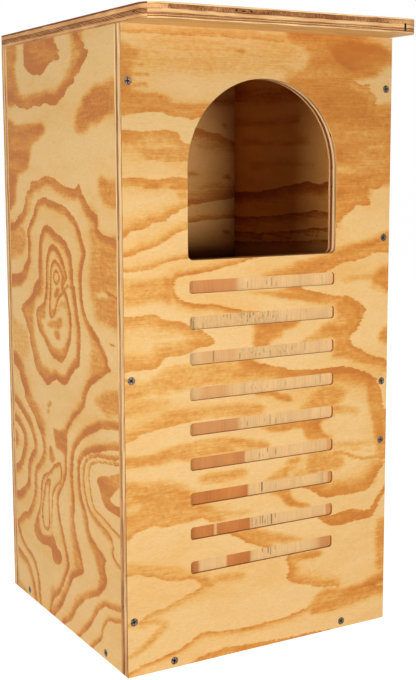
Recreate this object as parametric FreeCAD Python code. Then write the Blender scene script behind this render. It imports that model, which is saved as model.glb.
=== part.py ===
import FreeCAD, Part
import math
import os
from FreeCAD import Vector

# Plywood nest box, millimetres. The origin is the centre of the base, the front faces -Y
# and the clean-out door is on +X.

# Sheet and box
ply = 14.5  # thickness of every panel
box_width = 319.0  # outside, left to right
box_depth = 315.0  # outside, front to back
wall_height = 640.0
roof_front_overhang = 53.0
roof_left_inset = 0.25  # the roof stops this far inside the left wall's face
roof_right_inset = 4.5  # and this far inside the right wall's face
roof_corner_radius = 18.0  # its two front corners

# Arched entrance in the front panel
entrance_width = 178.0
entrance_height = 178.5  # sill to crown
crown_below_top = 46.5
sill_corner_radius = 6.0

# Ladder of toe grooves under the entrance
groove_length = 175.0
groove_height = 13.0
groove_pitch = 35.9
groove_depth = 3.0
groove_corner_radius = 3.2
groove_below_sill = 20.0
ladder_foot_height = 90.0  # no groove reaches lower than this

# Clean-out door, which turns on two screws near its top edge
pivot_height = 206.0
door_top_above_pivot = 13.0
door_side_gap = 1.5
door_bottom_gap = 2.0
door_floor_gap = 0.4
door_swing_clearance = 1.0  # between the swinging top edge and the wall above it
pivot_clearance = 0.1  # radial, between a pivot screw and the door

# Floor
drain_clip = 12.0  # cut off each corner of the floor

# Holes in the back panel for the lag screws that hang the box
lag_hole_radius = 4.5
upper_lag_below_top = 135.0
lower_lag_height = 120.0

# Countersunk wood screw with a cross recess
screw_length = 41.0
screw_head_radius = 4.1
screw_head_height = 2.4
screw_shank_radius = 2.0
screw_tip_length = 5.0
screw_tip_radius = 0.4
screw_sink = 0.3  # head below the panel's face
screw_fit = 0.05  # between a screw and the wood round it
recess_span = 4.6
recess_slot = 1.1
recess_depth = 1.5
recess_turn = 37.0  # degrees from one screw of a row to the next

# Where the screws stand
top_screw_inset = 53.0  # below the top of the side walls
left_middle_screw_height = 301.0
left_low_screw_height = 57.0
right_low_screw_inset = 50.0  # above the lower edge of the fixed right wall
floor_screw_left_inset = 52.5
floor_screw_right_inset = 58.0
floor_screw_front_inset = 53.0
floor_screw_back_inset = 49.0
roof_screw_side_inset = 60.0
roof_screw_end_inset = 75.0

# Turn button on the back panel's right edge
button_pivot_height = 78.0
button_reach = 28.0  # from its pivot to the centre of its round end
button_width = 11.0
button_thickness = 2.5
button_play = 0.1  # each side of the button, along its screw
washer_radius = 5.0
washer_thickness = 1.0
button_screw_length = 30.0  # under the head
button_screw_head_radius = 4.2
button_screw_head_height = 2.6

# Places that follow from the sizes above
right_face = box_width / 2
left_face = -right_face
back_face = box_depth / 2
front_face = -back_face
inner_right = right_face - ply
inner_left = left_face + ply
inner_back = back_face - ply
inner_front = front_face + ply
right_screw_line = right_face - ply / 2
left_screw_line = left_face + ply / 2
front_screw_line = front_face + ply / 2
back_screw_line = back_face - ply / 2
floor_screw_height = ply / 2

crown_height = wall_height - crown_below_top
sill_height = crown_height - entrance_height
spring_height = crown_height - entrance_width / 2
first_groove_top = sill_height - groove_below_sill
ladder_room = first_groove_top - groove_height - ladder_foot_height
groove_count = math.floor(ladder_room / groove_pitch) + 1

door_top = pivot_height + door_top_above_pivot
door_swing_radius = math.hypot(ply / 2, door_top_above_pivot)
right_wall_bottom = pivot_height + door_swing_radius + door_swing_clearance

roof_right = right_face - roof_right_inset
roof_left = left_face + roof_left_inset
roof_top = wall_height + ply
roof_screw_right_line = (inner_right + roof_right) / 2
roof_screw_left_line = (inner_left + roof_left) / 2

top_screw_height = wall_height - top_screw_inset
right_low_screw_height = right_wall_bottom + right_low_screw_inset
right_middle_screw_height = (top_screw_height + right_low_screw_height) / 2
left_screw_heights = (top_screw_height, left_middle_screw_height, left_low_screw_height)
right_screw_heights = (top_screw_height, right_middle_screw_height, right_low_screw_height)
floor_screw_left_line = left_face + floor_screw_left_inset
floor_screw_right_line = right_face - floor_screw_right_inset

upper_lag_height = wall_height - upper_lag_below_top

washer_outer_face = right_face + washer_thickness
button_inner_face = washer_outer_face + button_play
button_outer_face = button_inner_face + button_thickness
button_head_seat = button_outer_face + button_play

inward_from_front = Vector(0, 1, 0)
inward_from_back = Vector(0, -1, 0)
inward_from_left = Vector(1, 0, 0)
inward_from_right = Vector(-1, 0, 0)
downward = Vector(0, 0, -1)


def block(x_low, x_high, y_low, y_high, z_low, z_high):
    """Box between two corners."""
    corner = Vector(x_low, y_low, z_low)
    return Part.makeBox(x_high - x_low, y_high - y_low, z_high - z_low, corner)


def edges_along(shape, direction):
    """Straight edges of a shape that run along a direction."""
    picked = []
    for edge in shape.Edges:
        run = edge.Vertexes[-1].Point - edge.Vertexes[0].Point
        if run.cross(direction).Length < 1e-6 * run.Length:
            picked.append(edge)
    return picked


def turned(profile, point, direction):
    """Solid of revolution from (radius, depth) pairs, with its axis at a point along a direction."""
    corners = [Vector(radius, 0, depth) for radius, depth in profile]
    outline = Part.makePolygon(corners + corners[:1])
    solid = Part.Face(outline).revolve(Vector(0, 0, 0), Vector(0, 0, 1), 360)
    return aimed(solid, point, direction)


def aimed(shape, point, direction):
    """Shape moved so that its +Z runs along a direction from a point."""
    turn = FreeCAD.Rotation(Vector(0, 0, 1), direction)
    moved = shape.copy()
    moved.Placement = FreeCAD.Placement(point, turn).multiply(moved.Placement)
    return moved


def cross_recess(turn, depth_start):
    """Cross-shaped driver recess, cut from a depth along +Z."""
    half_span = recess_span / 2
    half_slot = recess_slot / 2
    depth_end = depth_start + recess_depth
    slot = block(-half_span, half_span, -half_slot, half_slot, depth_start, depth_end)
    other_slot = block(-half_slot, half_slot, -half_span, half_span, depth_start, depth_end)
    cross = slot.fuse(other_slot)
    cross.rotate(Vector(0, 0, 0), Vector(0, 0, 1), turn)
    return cross


def wood_screw(point, direction, turn):
    """Countersunk screw whose head lies just below a panel's face at a point."""
    head_end = screw_sink + screw_head_height
    body = turned(
        [
            (0, screw_sink),
            (screw_head_radius, screw_sink),
            (screw_shank_radius, head_end),
            (screw_shank_radius, screw_length - screw_tip_length),
            (screw_tip_radius, screw_length),
            (0, screw_length),
        ],
        point,
        direction,
    )
    return body.cut(aimed(cross_recess(turn, screw_sink), point, direction))


def screw_hole(point, direction):
    """Countersunk hole that a wood screw fills, open at the panel's face."""
    head_radius = screw_head_radius + screw_fit
    shank_radius = screw_shank_radius + screw_fit
    tip_radius = screw_tip_radius + screw_fit
    return turned(
        [
            (0, -ply),
            (head_radius, -ply),
            (head_radius, screw_sink),
            (shank_radius, screw_sink + screw_head_height),
            (shank_radius, screw_length - screw_tip_length),
            (tip_radius, screw_length + screw_fit),
            (0, screw_length + screw_fit),
        ],
        point,
        direction,
    )


def bore(point, direction, radius, start, end):
    """Cylinder round an axis, from one depth to another."""
    return Part.makeCylinder(radius, end - start, point + direction * start, direction)


def screw_row(points, direction):
    """Separate screws of one row, each with its recess turned a little further."""
    screws = []
    for index, point in enumerate(points):
        screws.append(wood_screw(point, direction, index * recess_turn))
    return Part.Compound(screws)


def drilled(panel, rows):
    """Panel with the holes of several screw rows."""
    holes = []
    for points, direction in rows:
        for point in points:
            holes.append(screw_hole(point, direction))
    return panel.cut(holes)


def entrance():
    """Arched opening: flat sill with round corners, straight sides and a semicircular crown."""
    half = entrance_width / 2
    radius = sill_corner_radius
    bend = radius * (1 - math.sqrt(0.5))
    y_start = front_face - ply

    def at(x, z):
        return Vector(x, y_start, z)

    right_sill = at(half - radius, sill_height)
    right_side = at(half, sill_height + radius)
    right_spring = at(half, spring_height)
    left_spring = at(-half, spring_height)
    left_side = at(-half, sill_height + radius)
    left_sill = at(radius - half, sill_height)
    edges = [
        Part.makeLine(left_sill, right_sill),
        Part.Arc(right_sill, at(half - bend, sill_height + bend), right_side).toShape(),
        Part.makeLine(right_side, right_spring),
        Part.Arc(right_spring, at(0, crown_height), left_spring).toShape(),
        Part.makeLine(left_spring, left_side),
        Part.Arc(left_side, at(bend - half, sill_height + bend), left_sill).toShape(),
    ]
    return Part.Face(Part.Wire(edges)).extrude(Vector(0, 3 * ply, 0))


def toe_groove(index):
    """One groove of the ladder, counted down from the entrance."""
    top = first_groove_top - index * groove_pitch
    half = groove_length / 2
    slab = block(-half, half, front_face - ply, front_face + groove_depth, top - groove_height, top)
    return slab.makeFillet(groove_corner_radius, edges_along(slab, Vector(0, 1, 0)))


# Screw rows: the points where their heads lie on the outer faces
front_left_points = [Vector(left_screw_line, front_face, z) for z in left_screw_heights]
front_right_points = [Vector(right_screw_line, front_face, z) for z in right_screw_heights]
back_left_points = [Vector(left_screw_line, back_face, z) for z in left_screw_heights]
back_right_points = [Vector(right_screw_line, back_face, z) for z in right_screw_heights]
floor_screw_lines = (floor_screw_left_line, floor_screw_right_line)
front_floor_points = [Vector(x, front_face, floor_screw_height) for x in floor_screw_lines]
back_floor_points = [Vector(x, back_face, floor_screw_height) for x in floor_screw_lines]
left_floor_points = [
    Vector(left_face, front_face + floor_screw_front_inset, floor_screw_height),
    Vector(left_face, back_face - floor_screw_back_inset, floor_screw_height),
]
front_pivot_points = [Vector(right_screw_line, front_face, pivot_height)]
back_pivot_points = [Vector(right_screw_line, back_face, pivot_height)]
roof_screw_x = (left_face + roof_screw_side_inset, right_face - roof_screw_side_inset)
roof_screw_y = (front_face + roof_screw_end_inset, back_face - roof_screw_end_inset)
roof_front_points = [Vector(x, front_screw_line, roof_top) for x in roof_screw_x]
roof_back_points = [Vector(x, back_screw_line, roof_top) for x in roof_screw_x]
roof_left_points = [Vector(roof_screw_left_line, y, roof_top) for y in roof_screw_y]
roof_right_points = [Vector(roof_screw_right_line, y, roof_top) for y in roof_screw_y]

front_left_row = (front_left_points, inward_from_front)
front_right_row = (front_right_points, inward_from_front)
front_floor_row = (front_floor_points, inward_from_front)
front_pivot_row = (front_pivot_points, inward_from_front)
back_left_row = (back_left_points, inward_from_back)
back_right_row = (back_right_points, inward_from_back)
back_floor_row = (back_floor_points, inward_from_back)
back_pivot_row = (back_pivot_points, inward_from_back)
left_floor_row = (left_floor_points, inward_from_left)
roof_front_row = (roof_front_points, downward)
roof_back_row = (roof_back_points, downward)
roof_left_row = (roof_left_points, downward)
roof_right_row = (roof_right_points, downward)

button_pivot = Vector(right_face, back_screw_line, button_pivot_height)


def front_panel():
    board = block(left_face, right_face, front_face, inner_front, 0, wall_height)
    board = board.cut([entrance()] + [toe_groove(index) for index in range(groove_count)])
    rows = [front_left_row, front_right_row, front_floor_row, front_pivot_row, roof_front_row]
    return drilled(board, rows)


def back_panel():
    board = block(left_face, right_face, inner_back, back_face, 0, wall_height)
    lag_points = [Vector(0, back_face, z) for z in (lower_lag_height, upper_lag_height)]
    lag_holes = [bore(point, inward_from_back, lag_hole_radius, -ply, 2 * ply) for point in lag_points]
    shank_radius = screw_shank_radius + screw_fit
    shank_end = button_screw_length - (button_head_seat - right_face) + screw_fit
    shank_hole = bore(button_pivot, inward_from_right, shank_radius, -ply, shank_end)
    rows = [back_left_row, back_right_row, back_floor_row, back_pivot_row, roof_back_row]
    return drilled(board.cut(lag_holes + [shank_hole]), rows)


def left_side_panel():
    board = block(left_face, inner_left, inner_front, inner_back, 0, wall_height)
    return drilled(board, [front_left_row, back_left_row, left_floor_row, roof_left_row])


def right_side_panel():
    board = block(inner_right, right_face, inner_front, inner_back, right_wall_bottom, wall_height)
    return drilled(board, [front_right_row, back_right_row, roof_right_row])


def cleanout_door():
    y_low = inner_front + door_side_gap
    y_high = inner_back - door_side_gap
    board = block(inner_right, right_face, y_low, y_high, door_bottom_gap, door_top)
    radius = screw_shank_radius + pivot_clearance
    end = screw_length + pivot_clearance
    front_bore = bore(front_pivot_points[0], inward_from_front, radius, 0, end)
    back_bore = bore(back_pivot_points[0], inward_from_back, radius, 0, end)
    return board.cut([front_bore, back_bore])


def floor_panel():
    board = block(inner_left, inner_right - door_floor_gap, inner_front, inner_back, 0, ply)
    board = board.makeChamfer(drain_clip, edges_along(board, Vector(0, 0, 1)))
    return drilled(board, [front_floor_row, back_floor_row, left_floor_row])


def roof_panel():
    front_edge = front_face - roof_front_overhang
    board = block(roof_left, roof_right, front_edge, back_face, wall_height, roof_top)
    uprights = edges_along(board, Vector(0, 0, 1))
    front_corners = [edge for edge in uprights if edge.Vertexes[0].Y < front_face]
    board = board.makeFillet(roof_corner_radius, front_corners)
    return drilled(board, [roof_front_row, roof_back_row, roof_left_row, roof_right_row])


def turn_button():
    """Flat bar with round ends, hanging from a hole in its upper end."""
    half = button_width / 2
    pivot = Vector(button_inner_face, back_screw_line, button_pivot_height)
    foot = pivot - Vector(0, 0, button_reach)
    outward = Vector(1, 0, 0)
    sides = (pivot.y - half, pivot.y + half)
    bar = block(button_inner_face, button_outer_face, *sides, foot.z, pivot.z)
    for centre in (pivot, foot):
        bar = bar.fuse(bore(centre, outward, half, 0, button_thickness))
    hole = bore(pivot, outward, screw_shank_radius + pivot_clearance, -ply, ply)
    return bar.removeSplitter().cut(hole)


def turn_button_washer():
    ring = bore(button_pivot, inward_from_right, washer_radius, -washer_thickness, 0)
    return ring.cut(bore(button_pivot, inward_from_right, screw_shank_radius + screw_fit, -ply, ply))


def turn_button_screw():
    seat = Vector(button_head_seat, back_screw_line, button_pivot_height)
    shank_end = button_screw_length - screw_tip_length
    body = turned(
        [
            (0, -button_screw_head_height),
            (button_screw_head_radius, -button_screw_head_height),
            (button_screw_head_radius, 0),
            (screw_shank_radius, 0),
            (screw_shank_radius, shank_end),
            (screw_tip_radius, button_screw_length),
            (0, button_screw_length),
        ],
        seat,
        inward_from_right,
    )
    recess = cross_recess(recess_turn, -button_screw_head_height)
    return body.cut(aimed(recess, seat, inward_from_right))


nodes = {
    "front_panel": front_panel(),
    "back_panel": back_panel(),
    "left_side_panel": left_side_panel(),
    "right_side_panel": right_side_panel(),
    "cleanout_door": cleanout_door(),
    "floor_panel": floor_panel(),
    "roof_panel": roof_panel(),
    "front_left_edge_screws": screw_row(*front_left_row),
    "front_right_edge_screws": screw_row(*front_right_row),
    "front_floor_screws": screw_row(*front_floor_row),
    "left_floor_screws": screw_row(*left_floor_row),
    "door_pivot_screw_front": screw_row(*front_pivot_row),
    "door_pivot_screw_back": screw_row(*back_pivot_row),
    "back_left_edge_screws": screw_row(*back_left_row),
    "back_right_edge_screws": screw_row(*back_right_row),
    "back_floor_screws": screw_row(*back_floor_row),
    "roof_front_screws": screw_row(*roof_front_row),
    "roof_back_screws": screw_row(*roof_back_row),
    "roof_left_screws": screw_row(*roof_left_row),
    "roof_right_screws": screw_row(*roof_right_row),
    "turn_button": turn_button(),
    "turn_button_washer": turn_button_washer(),
    "turn_button_screw": turn_button_screw(),
}

os.makedirs("parts", exist_ok=True)
for name, shape in nodes.items():
    shape.exportStep(f"parts/{name}.step")
    state = "valid" if shape.isValid() else "not valid"
    print(name, len(shape.Solids), "solids", round(shape.Volume), "mm3", state)
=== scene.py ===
import math

import bmesh
import bpy
import numpy as np
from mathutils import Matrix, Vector, noise


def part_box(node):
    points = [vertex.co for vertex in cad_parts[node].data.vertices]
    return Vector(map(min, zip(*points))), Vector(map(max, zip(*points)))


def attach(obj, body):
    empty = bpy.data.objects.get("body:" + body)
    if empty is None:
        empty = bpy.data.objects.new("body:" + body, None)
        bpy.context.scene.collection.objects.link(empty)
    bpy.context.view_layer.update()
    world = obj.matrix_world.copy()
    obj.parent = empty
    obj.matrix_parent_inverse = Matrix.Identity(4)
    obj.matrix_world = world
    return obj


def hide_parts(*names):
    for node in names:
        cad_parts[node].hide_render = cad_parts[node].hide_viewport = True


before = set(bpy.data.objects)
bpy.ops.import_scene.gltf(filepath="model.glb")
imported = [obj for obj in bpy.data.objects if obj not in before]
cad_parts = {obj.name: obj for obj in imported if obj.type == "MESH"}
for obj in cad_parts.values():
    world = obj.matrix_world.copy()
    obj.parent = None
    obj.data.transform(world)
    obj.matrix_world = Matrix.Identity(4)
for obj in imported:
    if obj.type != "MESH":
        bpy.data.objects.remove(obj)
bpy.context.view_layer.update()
print("frame loaded:", len(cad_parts), "nodes")


# Camera at the photograph's viewpoint
cameraSettings = {
    "place": (-0.6568, -1.1913, 0.5169),
    "turn": (82.399, 0.124, -30.219),  # degrees
    "lens": 63.74,
    "shift": (-0.0147, -0.0343),
}
cameraData = bpy.data.cameras.new("photoCamera")
cameraData.sensor_width = 36.0
cameraData.sensor_fit = "AUTO"
cameraData.lens = cameraSettings["lens"]
cameraData.shift_x, cameraData.shift_y = cameraSettings["shift"]
cameraData.clip_start = 0.01
camera = bpy.data.objects.new("photoCamera", cameraData)
camera.location = cameraSettings["place"]
camera.rotation_euler = [math.radians(angle) for angle in cameraSettings["turn"]]
bpy.context.scene.collection.objects.link(camera)
bpy.context.scene.camera = camera
print("camera set")


# Colour from its 0 to 255 levels
def tone(red, green, blue):
    levels = [value / 255 for value in (red, green, blue)]
    return tuple(v / 12.92 if v < 0.04045 else ((v + 0.055) / 1.055) ** 2.4 for v in levels) + (1.0,)


# Adds a node: an input given as a socket is linked, any other value is set
def addNode(tree, kind, inputs=None, **settings):
    made = tree.nodes.new(kind)
    for name, value in settings.items():
        setattr(made, name, value)
    for key, value in (inputs or {}).items():
        if isinstance(value, bpy.types.NodeSocket):
            tree.links.new(value, made.inputs[key])
        else:
            made.inputs[key].default_value = value
    return made


def calc(tree, operation, *values, clamp=False):
    inputs = dict(enumerate(values))
    return addNode(tree, "ShaderNodeMath", inputs, operation=operation, use_clamp=clamp).outputs[0]


def vecCalc(tree, operation, *values):
    made = addNode(tree, "ShaderNodeVectorMath", dict(enumerate(values)), operation=operation)
    return made.outputs["Value" if operation in ("DOT_PRODUCT", "LENGTH") else "Vector"]


def ease(tree, value, low, high, toLow=0.0, toHigh=1.0):
    sockets = {"Value": value, "From Min": low, "From Max": high, "To Min": toLow, "To Max": toHigh}
    return addNode(tree, "ShaderNodeMapRange", sockets, interpolation_type="SMOOTHSTEP").outputs[0]


def grainNoise(tree, point, lengths, detail=2.0, roughness=0.5, offset=0.0):
    spread = vecCalc(tree, "MULTIPLY", point, tuple(1 / length for length in lengths))
    if offset:
        spread = vecCalc(tree, "ADD", spread, (offset, offset * 0.7, offset * 1.3))
    sockets = {"Vector": spread, "Scale": 1.0, "Detail": detail, "Roughness": roughness}
    return addNode(tree, "ShaderNodeTexNoise", sockets).outputs["Fac"]


def grainSwing(tree, *noiseSettings, middle=0.5):  # the same noise, above and below zero
    return calc(tree, "SUBTRACT", grainNoise(tree, *noiseSettings), middle)


def mixColor(tree, factor, first, second):
    sockets = {0: factor, 6: first, 7: second}
    return addNode(tree, "ShaderNodeMix", sockets, data_type="RGBA", clamp_factor=True).outputs[2]


def brighten(tree, color, value):
    return addNode(tree, "ShaderNodeHueSaturation", {"Value": value, "Color": color}).outputs[0]


def splitPoint(tree, point):
    return addNode(tree, "ShaderNodeSeparateXYZ", {0: point}).outputs


skinSockets = [("Color", "c"), ("Roughness", "f"), ("Height", "f")]  # what a surface group gives out


def newGroup(name, inputs, outputs):
    group = bpy.data.node_groups.new(name, "ShaderNodeTree")
    kinds = {"f": "NodeSocketFloat", "v": "NodeSocketVector", "c": "NodeSocketColor"}
    for label, kind in inputs:
        group.interface.new_socket(label, in_out="INPUT", socket_type=kinds[kind])
    for label, kind in outputs:
        group.interface.new_socket(label, in_out="OUTPUT", socket_type=kinds[kind])
    return group, group.nodes.new("NodeGroupInput").outputs, group.nodes.new("NodeGroupOutput").inputs


def useGroup(tree, group, inputs):
    return addNode(tree, "ShaderNodeGroup", inputs, node_tree=group).outputs


def newMaterial(name):
    material = bpy.data.materials.new(name)
    material.use_nodes = True
    tree = material.node_tree
    tree.nodes.clear()
    shader = tree.nodes.new("ShaderNodeBsdfPrincipled")
    out = tree.nodes.new("ShaderNodeOutputMaterial")
    tree.links.new(shader.outputs[0], out.inputs["Surface"])
    return material, tree, shader


# One growth-ring hill: its level climbs outwards from a centre, at its own rate on each side
def makeRingHill():
    vectors = ("Point", "Centre", "Low Reach", "High Reach")
    inputs = [(label, "v") for label in vectors] + [("Level", "f"), ("Spread", "f")]
    group, put, give = newGroup("ringHill", inputs, [("Level", "f")])
    roundness = 1.5  # 1 gives diamonds, 2 ellipses
    away = vecCalc(group, "SUBTRACT", put["Point"], put["Centre"])
    high = vecCalc(group, "DIVIDE", vecCalc(group, "MAXIMUM", away, (0, 0, 0)), put["High Reach"])
    back = vecCalc(group, "MAXIMUM", vecCalc(group, "MULTIPLY", away, (-1, -1, -1)), (0, 0, 0))
    low = vecCalc(group, "DIVIDE", back, put["Low Reach"])
    bent = vecCalc(group, "POWER", vecCalc(group, "ADD", high, low), (roundness,) * 3)
    total = vecCalc(group, "DOT_PRODUCT", bent, (1, 0, 1))
    climb = calc(group, "POWER", total, calc(group, "DIVIDE", put["Spread"], roundness))
    group.links.new(calc(group, "ADD", put["Level"], climb), give["Level"])
    return group


# Wavers a face's coordinates, so that no ring is a clean curve
def makeWaver():
    group, put, give = newGroup("grainWaver", [("Point", "v"), ("Amount", "f")], [("Point", "v")])
    waverLength = 38  # millimetres
    spread = vecCalc(group, "MULTIPLY", put["Point"], (1 / waverLength,) * 3)
    sockets = {"Vector": spread, "Scale": 1.0, "Detail": 3.0}
    wide = addNode(group, "ShaderNodeTexNoise", sockets).outputs["Color"]
    shift = vecCalc(group, "SUBTRACT", wide, (0.5, 0.5, 0.5))
    sockets = {"Vector": shift, "Scale": put["Amount"]}
    scaled = addNode(group, "ShaderNodeVectorMath", sockets, operation="SCALE").outputs[0]
    group.links.new(vecCalc(group, "ADD", put["Point"], scaled), give["Point"])
    return group


# Latewood from a ring level: deepens outwards, then stops at a crisp edge
def makeRingFigure():
    group, put, give = newGroup("ringFigure", [("Point", "v"), ("Level", "f")], [("Dark", "f")])
    streak = grainSwing(group, put["Point"], (26, 8, 1.5), 3.0)
    drift = grainSwing(group, put["Point"], (90, 60, 45), 2.0)
    crumb = grainSwing(group, put["Point"], (5, 5, 3.4), 2.0, 0.6, 8.1)
    ringsPerLevel = 2.1
    level = calc(group, "MULTIPLY_ADD", drift, 0.5, put["Level"])
    level = calc(group, "MULTIPLY", level, ringsPerLevel)
    level = calc(group, "MULTIPLY_ADD", streak, 0.16, level)
    level = calc(group, "MULTIPLY_ADD", crumb, 0.1, level)
    turn = calc(group, "FRACT", level)
    rise = ease(group, turn, 0.34, 0.97)
    stop = ease(group, turn, 0.95, 1.0, 1.0, 0.0)
    cloud = grainNoise(group, put["Point"], (75, 30, 17), 2.0, 0.5, 4.4)
    weight = calc(group, "MULTIPLY_ADD", cloud, 1.0, 0.4)
    dark = calc(group, "MULTIPLY", calc(group, "POWER", rise, 1.6), stop)
    group.links.new(calc(group, "MULTIPLY", dark, weight, clamp=True), give["Dark"])
    return group


# Latewood from drawn ring edges: distance to the nearest edge, the depth on its two sides, and how
# steeply the edge crosses the grain, where it frays most
def makeDrawnFigure():
    inputs = [("Point", "v"), ("Drawn", "v"), ("Steep", "f"), ("Ragged", "f")]
    group, put, give = newGroup("drawnFigure", inputs, [("Dark", "f")])
    parts = splitPoint(group, put["Drawn"])
    fine = grainSwing(group, put["Point"], (30, 8, 1.2), 3.0)
    coarse = grainSwing(group, put["Point"], (40, 8, 3.6), 3.0, 0.5, 2.7)
    cloud = grainSwing(group, put["Point"], (75, 30, 17), 2.0, 0.5, 4.4)
    streak = calc(group, "MULTIPLY_ADD", coarse, 0.6, fine)
    fray = calc(group, "MULTIPLY", calc(group, "MULTIPLY_ADD", put["Steep"], 6.0, 1.4), put["Ragged"])
    crumb = grainSwing(group, put["Point"], (5, 5, 3.4), 2.0, 0.6, 8.1)
    edge = calc(group, "MULTIPLY_ADD", streak, fray, calc(group, "MULTIPLY_ADD", crumb, 3.0, parts["X"]))
    blur = calc(group, "MULTIPLY_ADD", put["Steep"], 0.6, 0.6)
    side = ease(group, edge, calc(group, "MULTIPLY", blur, -1.0), blur)
    dark = calc(group, "MULTIPLY_ADD", calc(group, "SUBTRACT", parts["Y"], parts["Z"]), side, parts["Z"])
    dark = calc(group, "MULTIPLY", dark, calc(group, "MULTIPLY_ADD", cloud, 1.1, 0.98))
    middle = calc(group, "MULTIPLY", dark, calc(group, "SUBTRACT", 1.0, dark))
    tooth = calc(group, "ADD", streak, crumb)
    feather = calc(group, "MULTIPLY_ADD", calc(group, "MULTIPLY", middle, tooth), 2.6, dark, clamp=True)
    group.links.new(feather, give["Dark"])
    return group


# Rotary-cut softwood veneer: colour, gloss and relief from the latewood mask
toneNames = ("Pale", "Honey", "Amber", "Umber")


def makeVeneer():
    inputs = [("Point", "v"), ("Dark", "f")] + [(label, "c") for label in toneNames]
    group, put, give = newGroup("veneer", inputs, skinSockets)
    streak = grainSwing(group, put["Point"], (40, 8, 1.0), 4.0, 0.6)
    fibre = grainSwing(group, put["Point"], (6, 2, 0.4), 2.0, 0.6, 3.1)
    broad = grainSwing(group, put["Point"], (130, 60, 42), 3.0, 0.5, 7.7, middle=0.36)
    dark = calc(group, "MULTIPLY_ADD", broad, 0.65, put["Dark"])
    mottle = grainSwing(group, put["Point"], (26, 9, 9), 3.0, 0.6, 1.9)
    dark = calc(group, "MULTIPLY_ADD", mottle, 0.22, dark)
    dark = calc(group, "MULTIPLY_ADD", streak, 0.22, dark, clamp=True)
    color = mixColor(group, ease(group, dark, 0.0, 0.38), put["Pale"], put["Honey"])
    color = mixColor(group, ease(group, dark, 0.25, 0.72), color, put["Amber"])
    color = mixColor(group, ease(group, dark, 0.62, 1.05), color, put["Umber"])
    dash = ease(group, grainNoise(group, put["Point"], (11, 3, 0.6), 1.0, 0.5, 5.3), 0.66, 0.76)
    speck = grainSwing(group, put["Point"], (3.4, 2.0, 1.5), 2.0, 0.6, 6.6)
    value = calc(group, "MULTIPLY_ADD", fibre, 0.2, calc(group, "MULTIPLY_ADD", speck, 0.2, 1.0))
    value = calc(group, "MULTIPLY_ADD", streak, 0.12, value)
    value = calc(group, "MULTIPLY_ADD", dash, -0.1, value)
    group.links.new(brighten(group, color, value), give["Color"])
    rough = calc(group, "MULTIPLY_ADD", put["Dark"], -0.08, 0.56)
    group.links.new(calc(group, "MULTIPLY_ADD", fibre, 0.25, rough), give["Roughness"])
    relief = calc(group, "MULTIPLY_ADD", put["Dark"], 0.35, fibre)
    group.links.new(calc(group, "MULTIPLY_ADD", dash, -0.4, relief), give["Height"])
    return group


# Cut edge of the board: five plies counted from the outer face, every other one end grain, with glue lines
# and a few core gaps, painted dark as the shade inside them. Each ply's input says how brown it is
plyBounds = (0.0, 1.4, 3.7, 7.4, 11.3, 14.5)  # millimetres
roofBounds = (0.0, 1.6, 6.0, 9.8, 13.2, 14.5)
plyNames = ("First", "Second", "Third", "Fourth", "Fifth")


def makePlyEdge(name, bounds):
    inputs = [("Point", "v")] + [(label, "f") for label in ("Swap", "Age") + plyNames]
    group, put, give = newGroup(name, inputs, skinSockets)
    place = splitPoint(group, put["Point"])
    waver = grainSwing(group, put["Point"], (26, 60, 26), 3.0)
    depth = calc(group, "MULTIPLY_ADD", waver, 1.5, place["Y"])
    layer = 0.0
    for low, high in zip(bounds, bounds[1:]):
        sockets = {"Value": depth, "From Min": low, "From Max": high}
        share = addNode(group, "ShaderNodeMapRange", sockets).outputs[0]
        layer = calc(group, "ADD", layer, share)
    part = calc(group, "FRACT", layer)
    index = calc(group, "FLOOR", layer)
    endGrain = calc(group, "MODULO", calc(group, "ADD", index, put["Swap"]), 2.0)
    speck = grainSwing(group, put["Point"], (0.9, 2.6, 0.9), 2.0, 0.6)
    lines = grainSwing(group, put["Point"], (18, 0.45, 18), 3.0, 0.6)
    drift = grainSwing(group, put["Point"], (42, 7, 42), 2.0, 0.5, 4.0)
    core = 0.0
    for number, ply in enumerate(plyNames):
        here = calc(group, "COMPARE", index, float(number), 0.1)
        core = calc(group, "MULTIPLY_ADD", here, put[ply], core)
    texture = calc(group, "MULTIPLY_ADD", calc(group, "SUBTRACT", speck, lines), endGrain, lines)
    brown = calc(group, "MULTIPLY_ADD", drift, 0.7, calc(group, "ADD", core, put["Age"]))
    brown = calc(group, "MULTIPLY_ADD", texture, 0.8, brown, clamp=True)
    color = mixColor(group, ease(group, brown, 0.0, 0.42), tone(252, 214, 156), tone(224, 164, 106))
    color = mixColor(group, ease(group, brown, 0.36, 1.0), color, tone(128, 70, 40))
    fromGlue = calc(group, "PINGPONG", part, 0.5)
    broken = ease(group, calc(group, "ADD", drift, lines), -0.22, 0.12)
    glue = calc(group, "MULTIPLY", ease(group, fromGlue, 0.03, 0.13, 0.8, 0.0), broken)
    color = mixColor(group, glue, color, tone(96, 54, 30))
    # core gaps: painted near black, the shade inside each gap
    gapNoise = grainNoise(group, put["Point"], (8, 3, 8), 1.0, 0.5, 9.0)
    shadedGap = calc(group, "MULTIPLY", ease(group, gapNoise, 0.71, 0.74), ease(group, core, 0.32, 0.5))
    shadedGap = calc(group, "MULTIPLY", shadedGap, ease(group, fromGlue, 0.1, 0.28))
    color = mixColor(group, shadedGap, color, tone(44, 26, 16))
    group.links.new(color, give["Color"])
    group.links.new(calc(group, "MULTIPLY_ADD", speck, 0.3, 0.72), give["Roughness"])
    low = calc(group, "ADD", glue, calc(group, "MULTIPLY", shadedGap, 2.0))
    group.links.new(calc(group, "SUBTRACT", texture, low), give["Height"])
    return group


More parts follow.
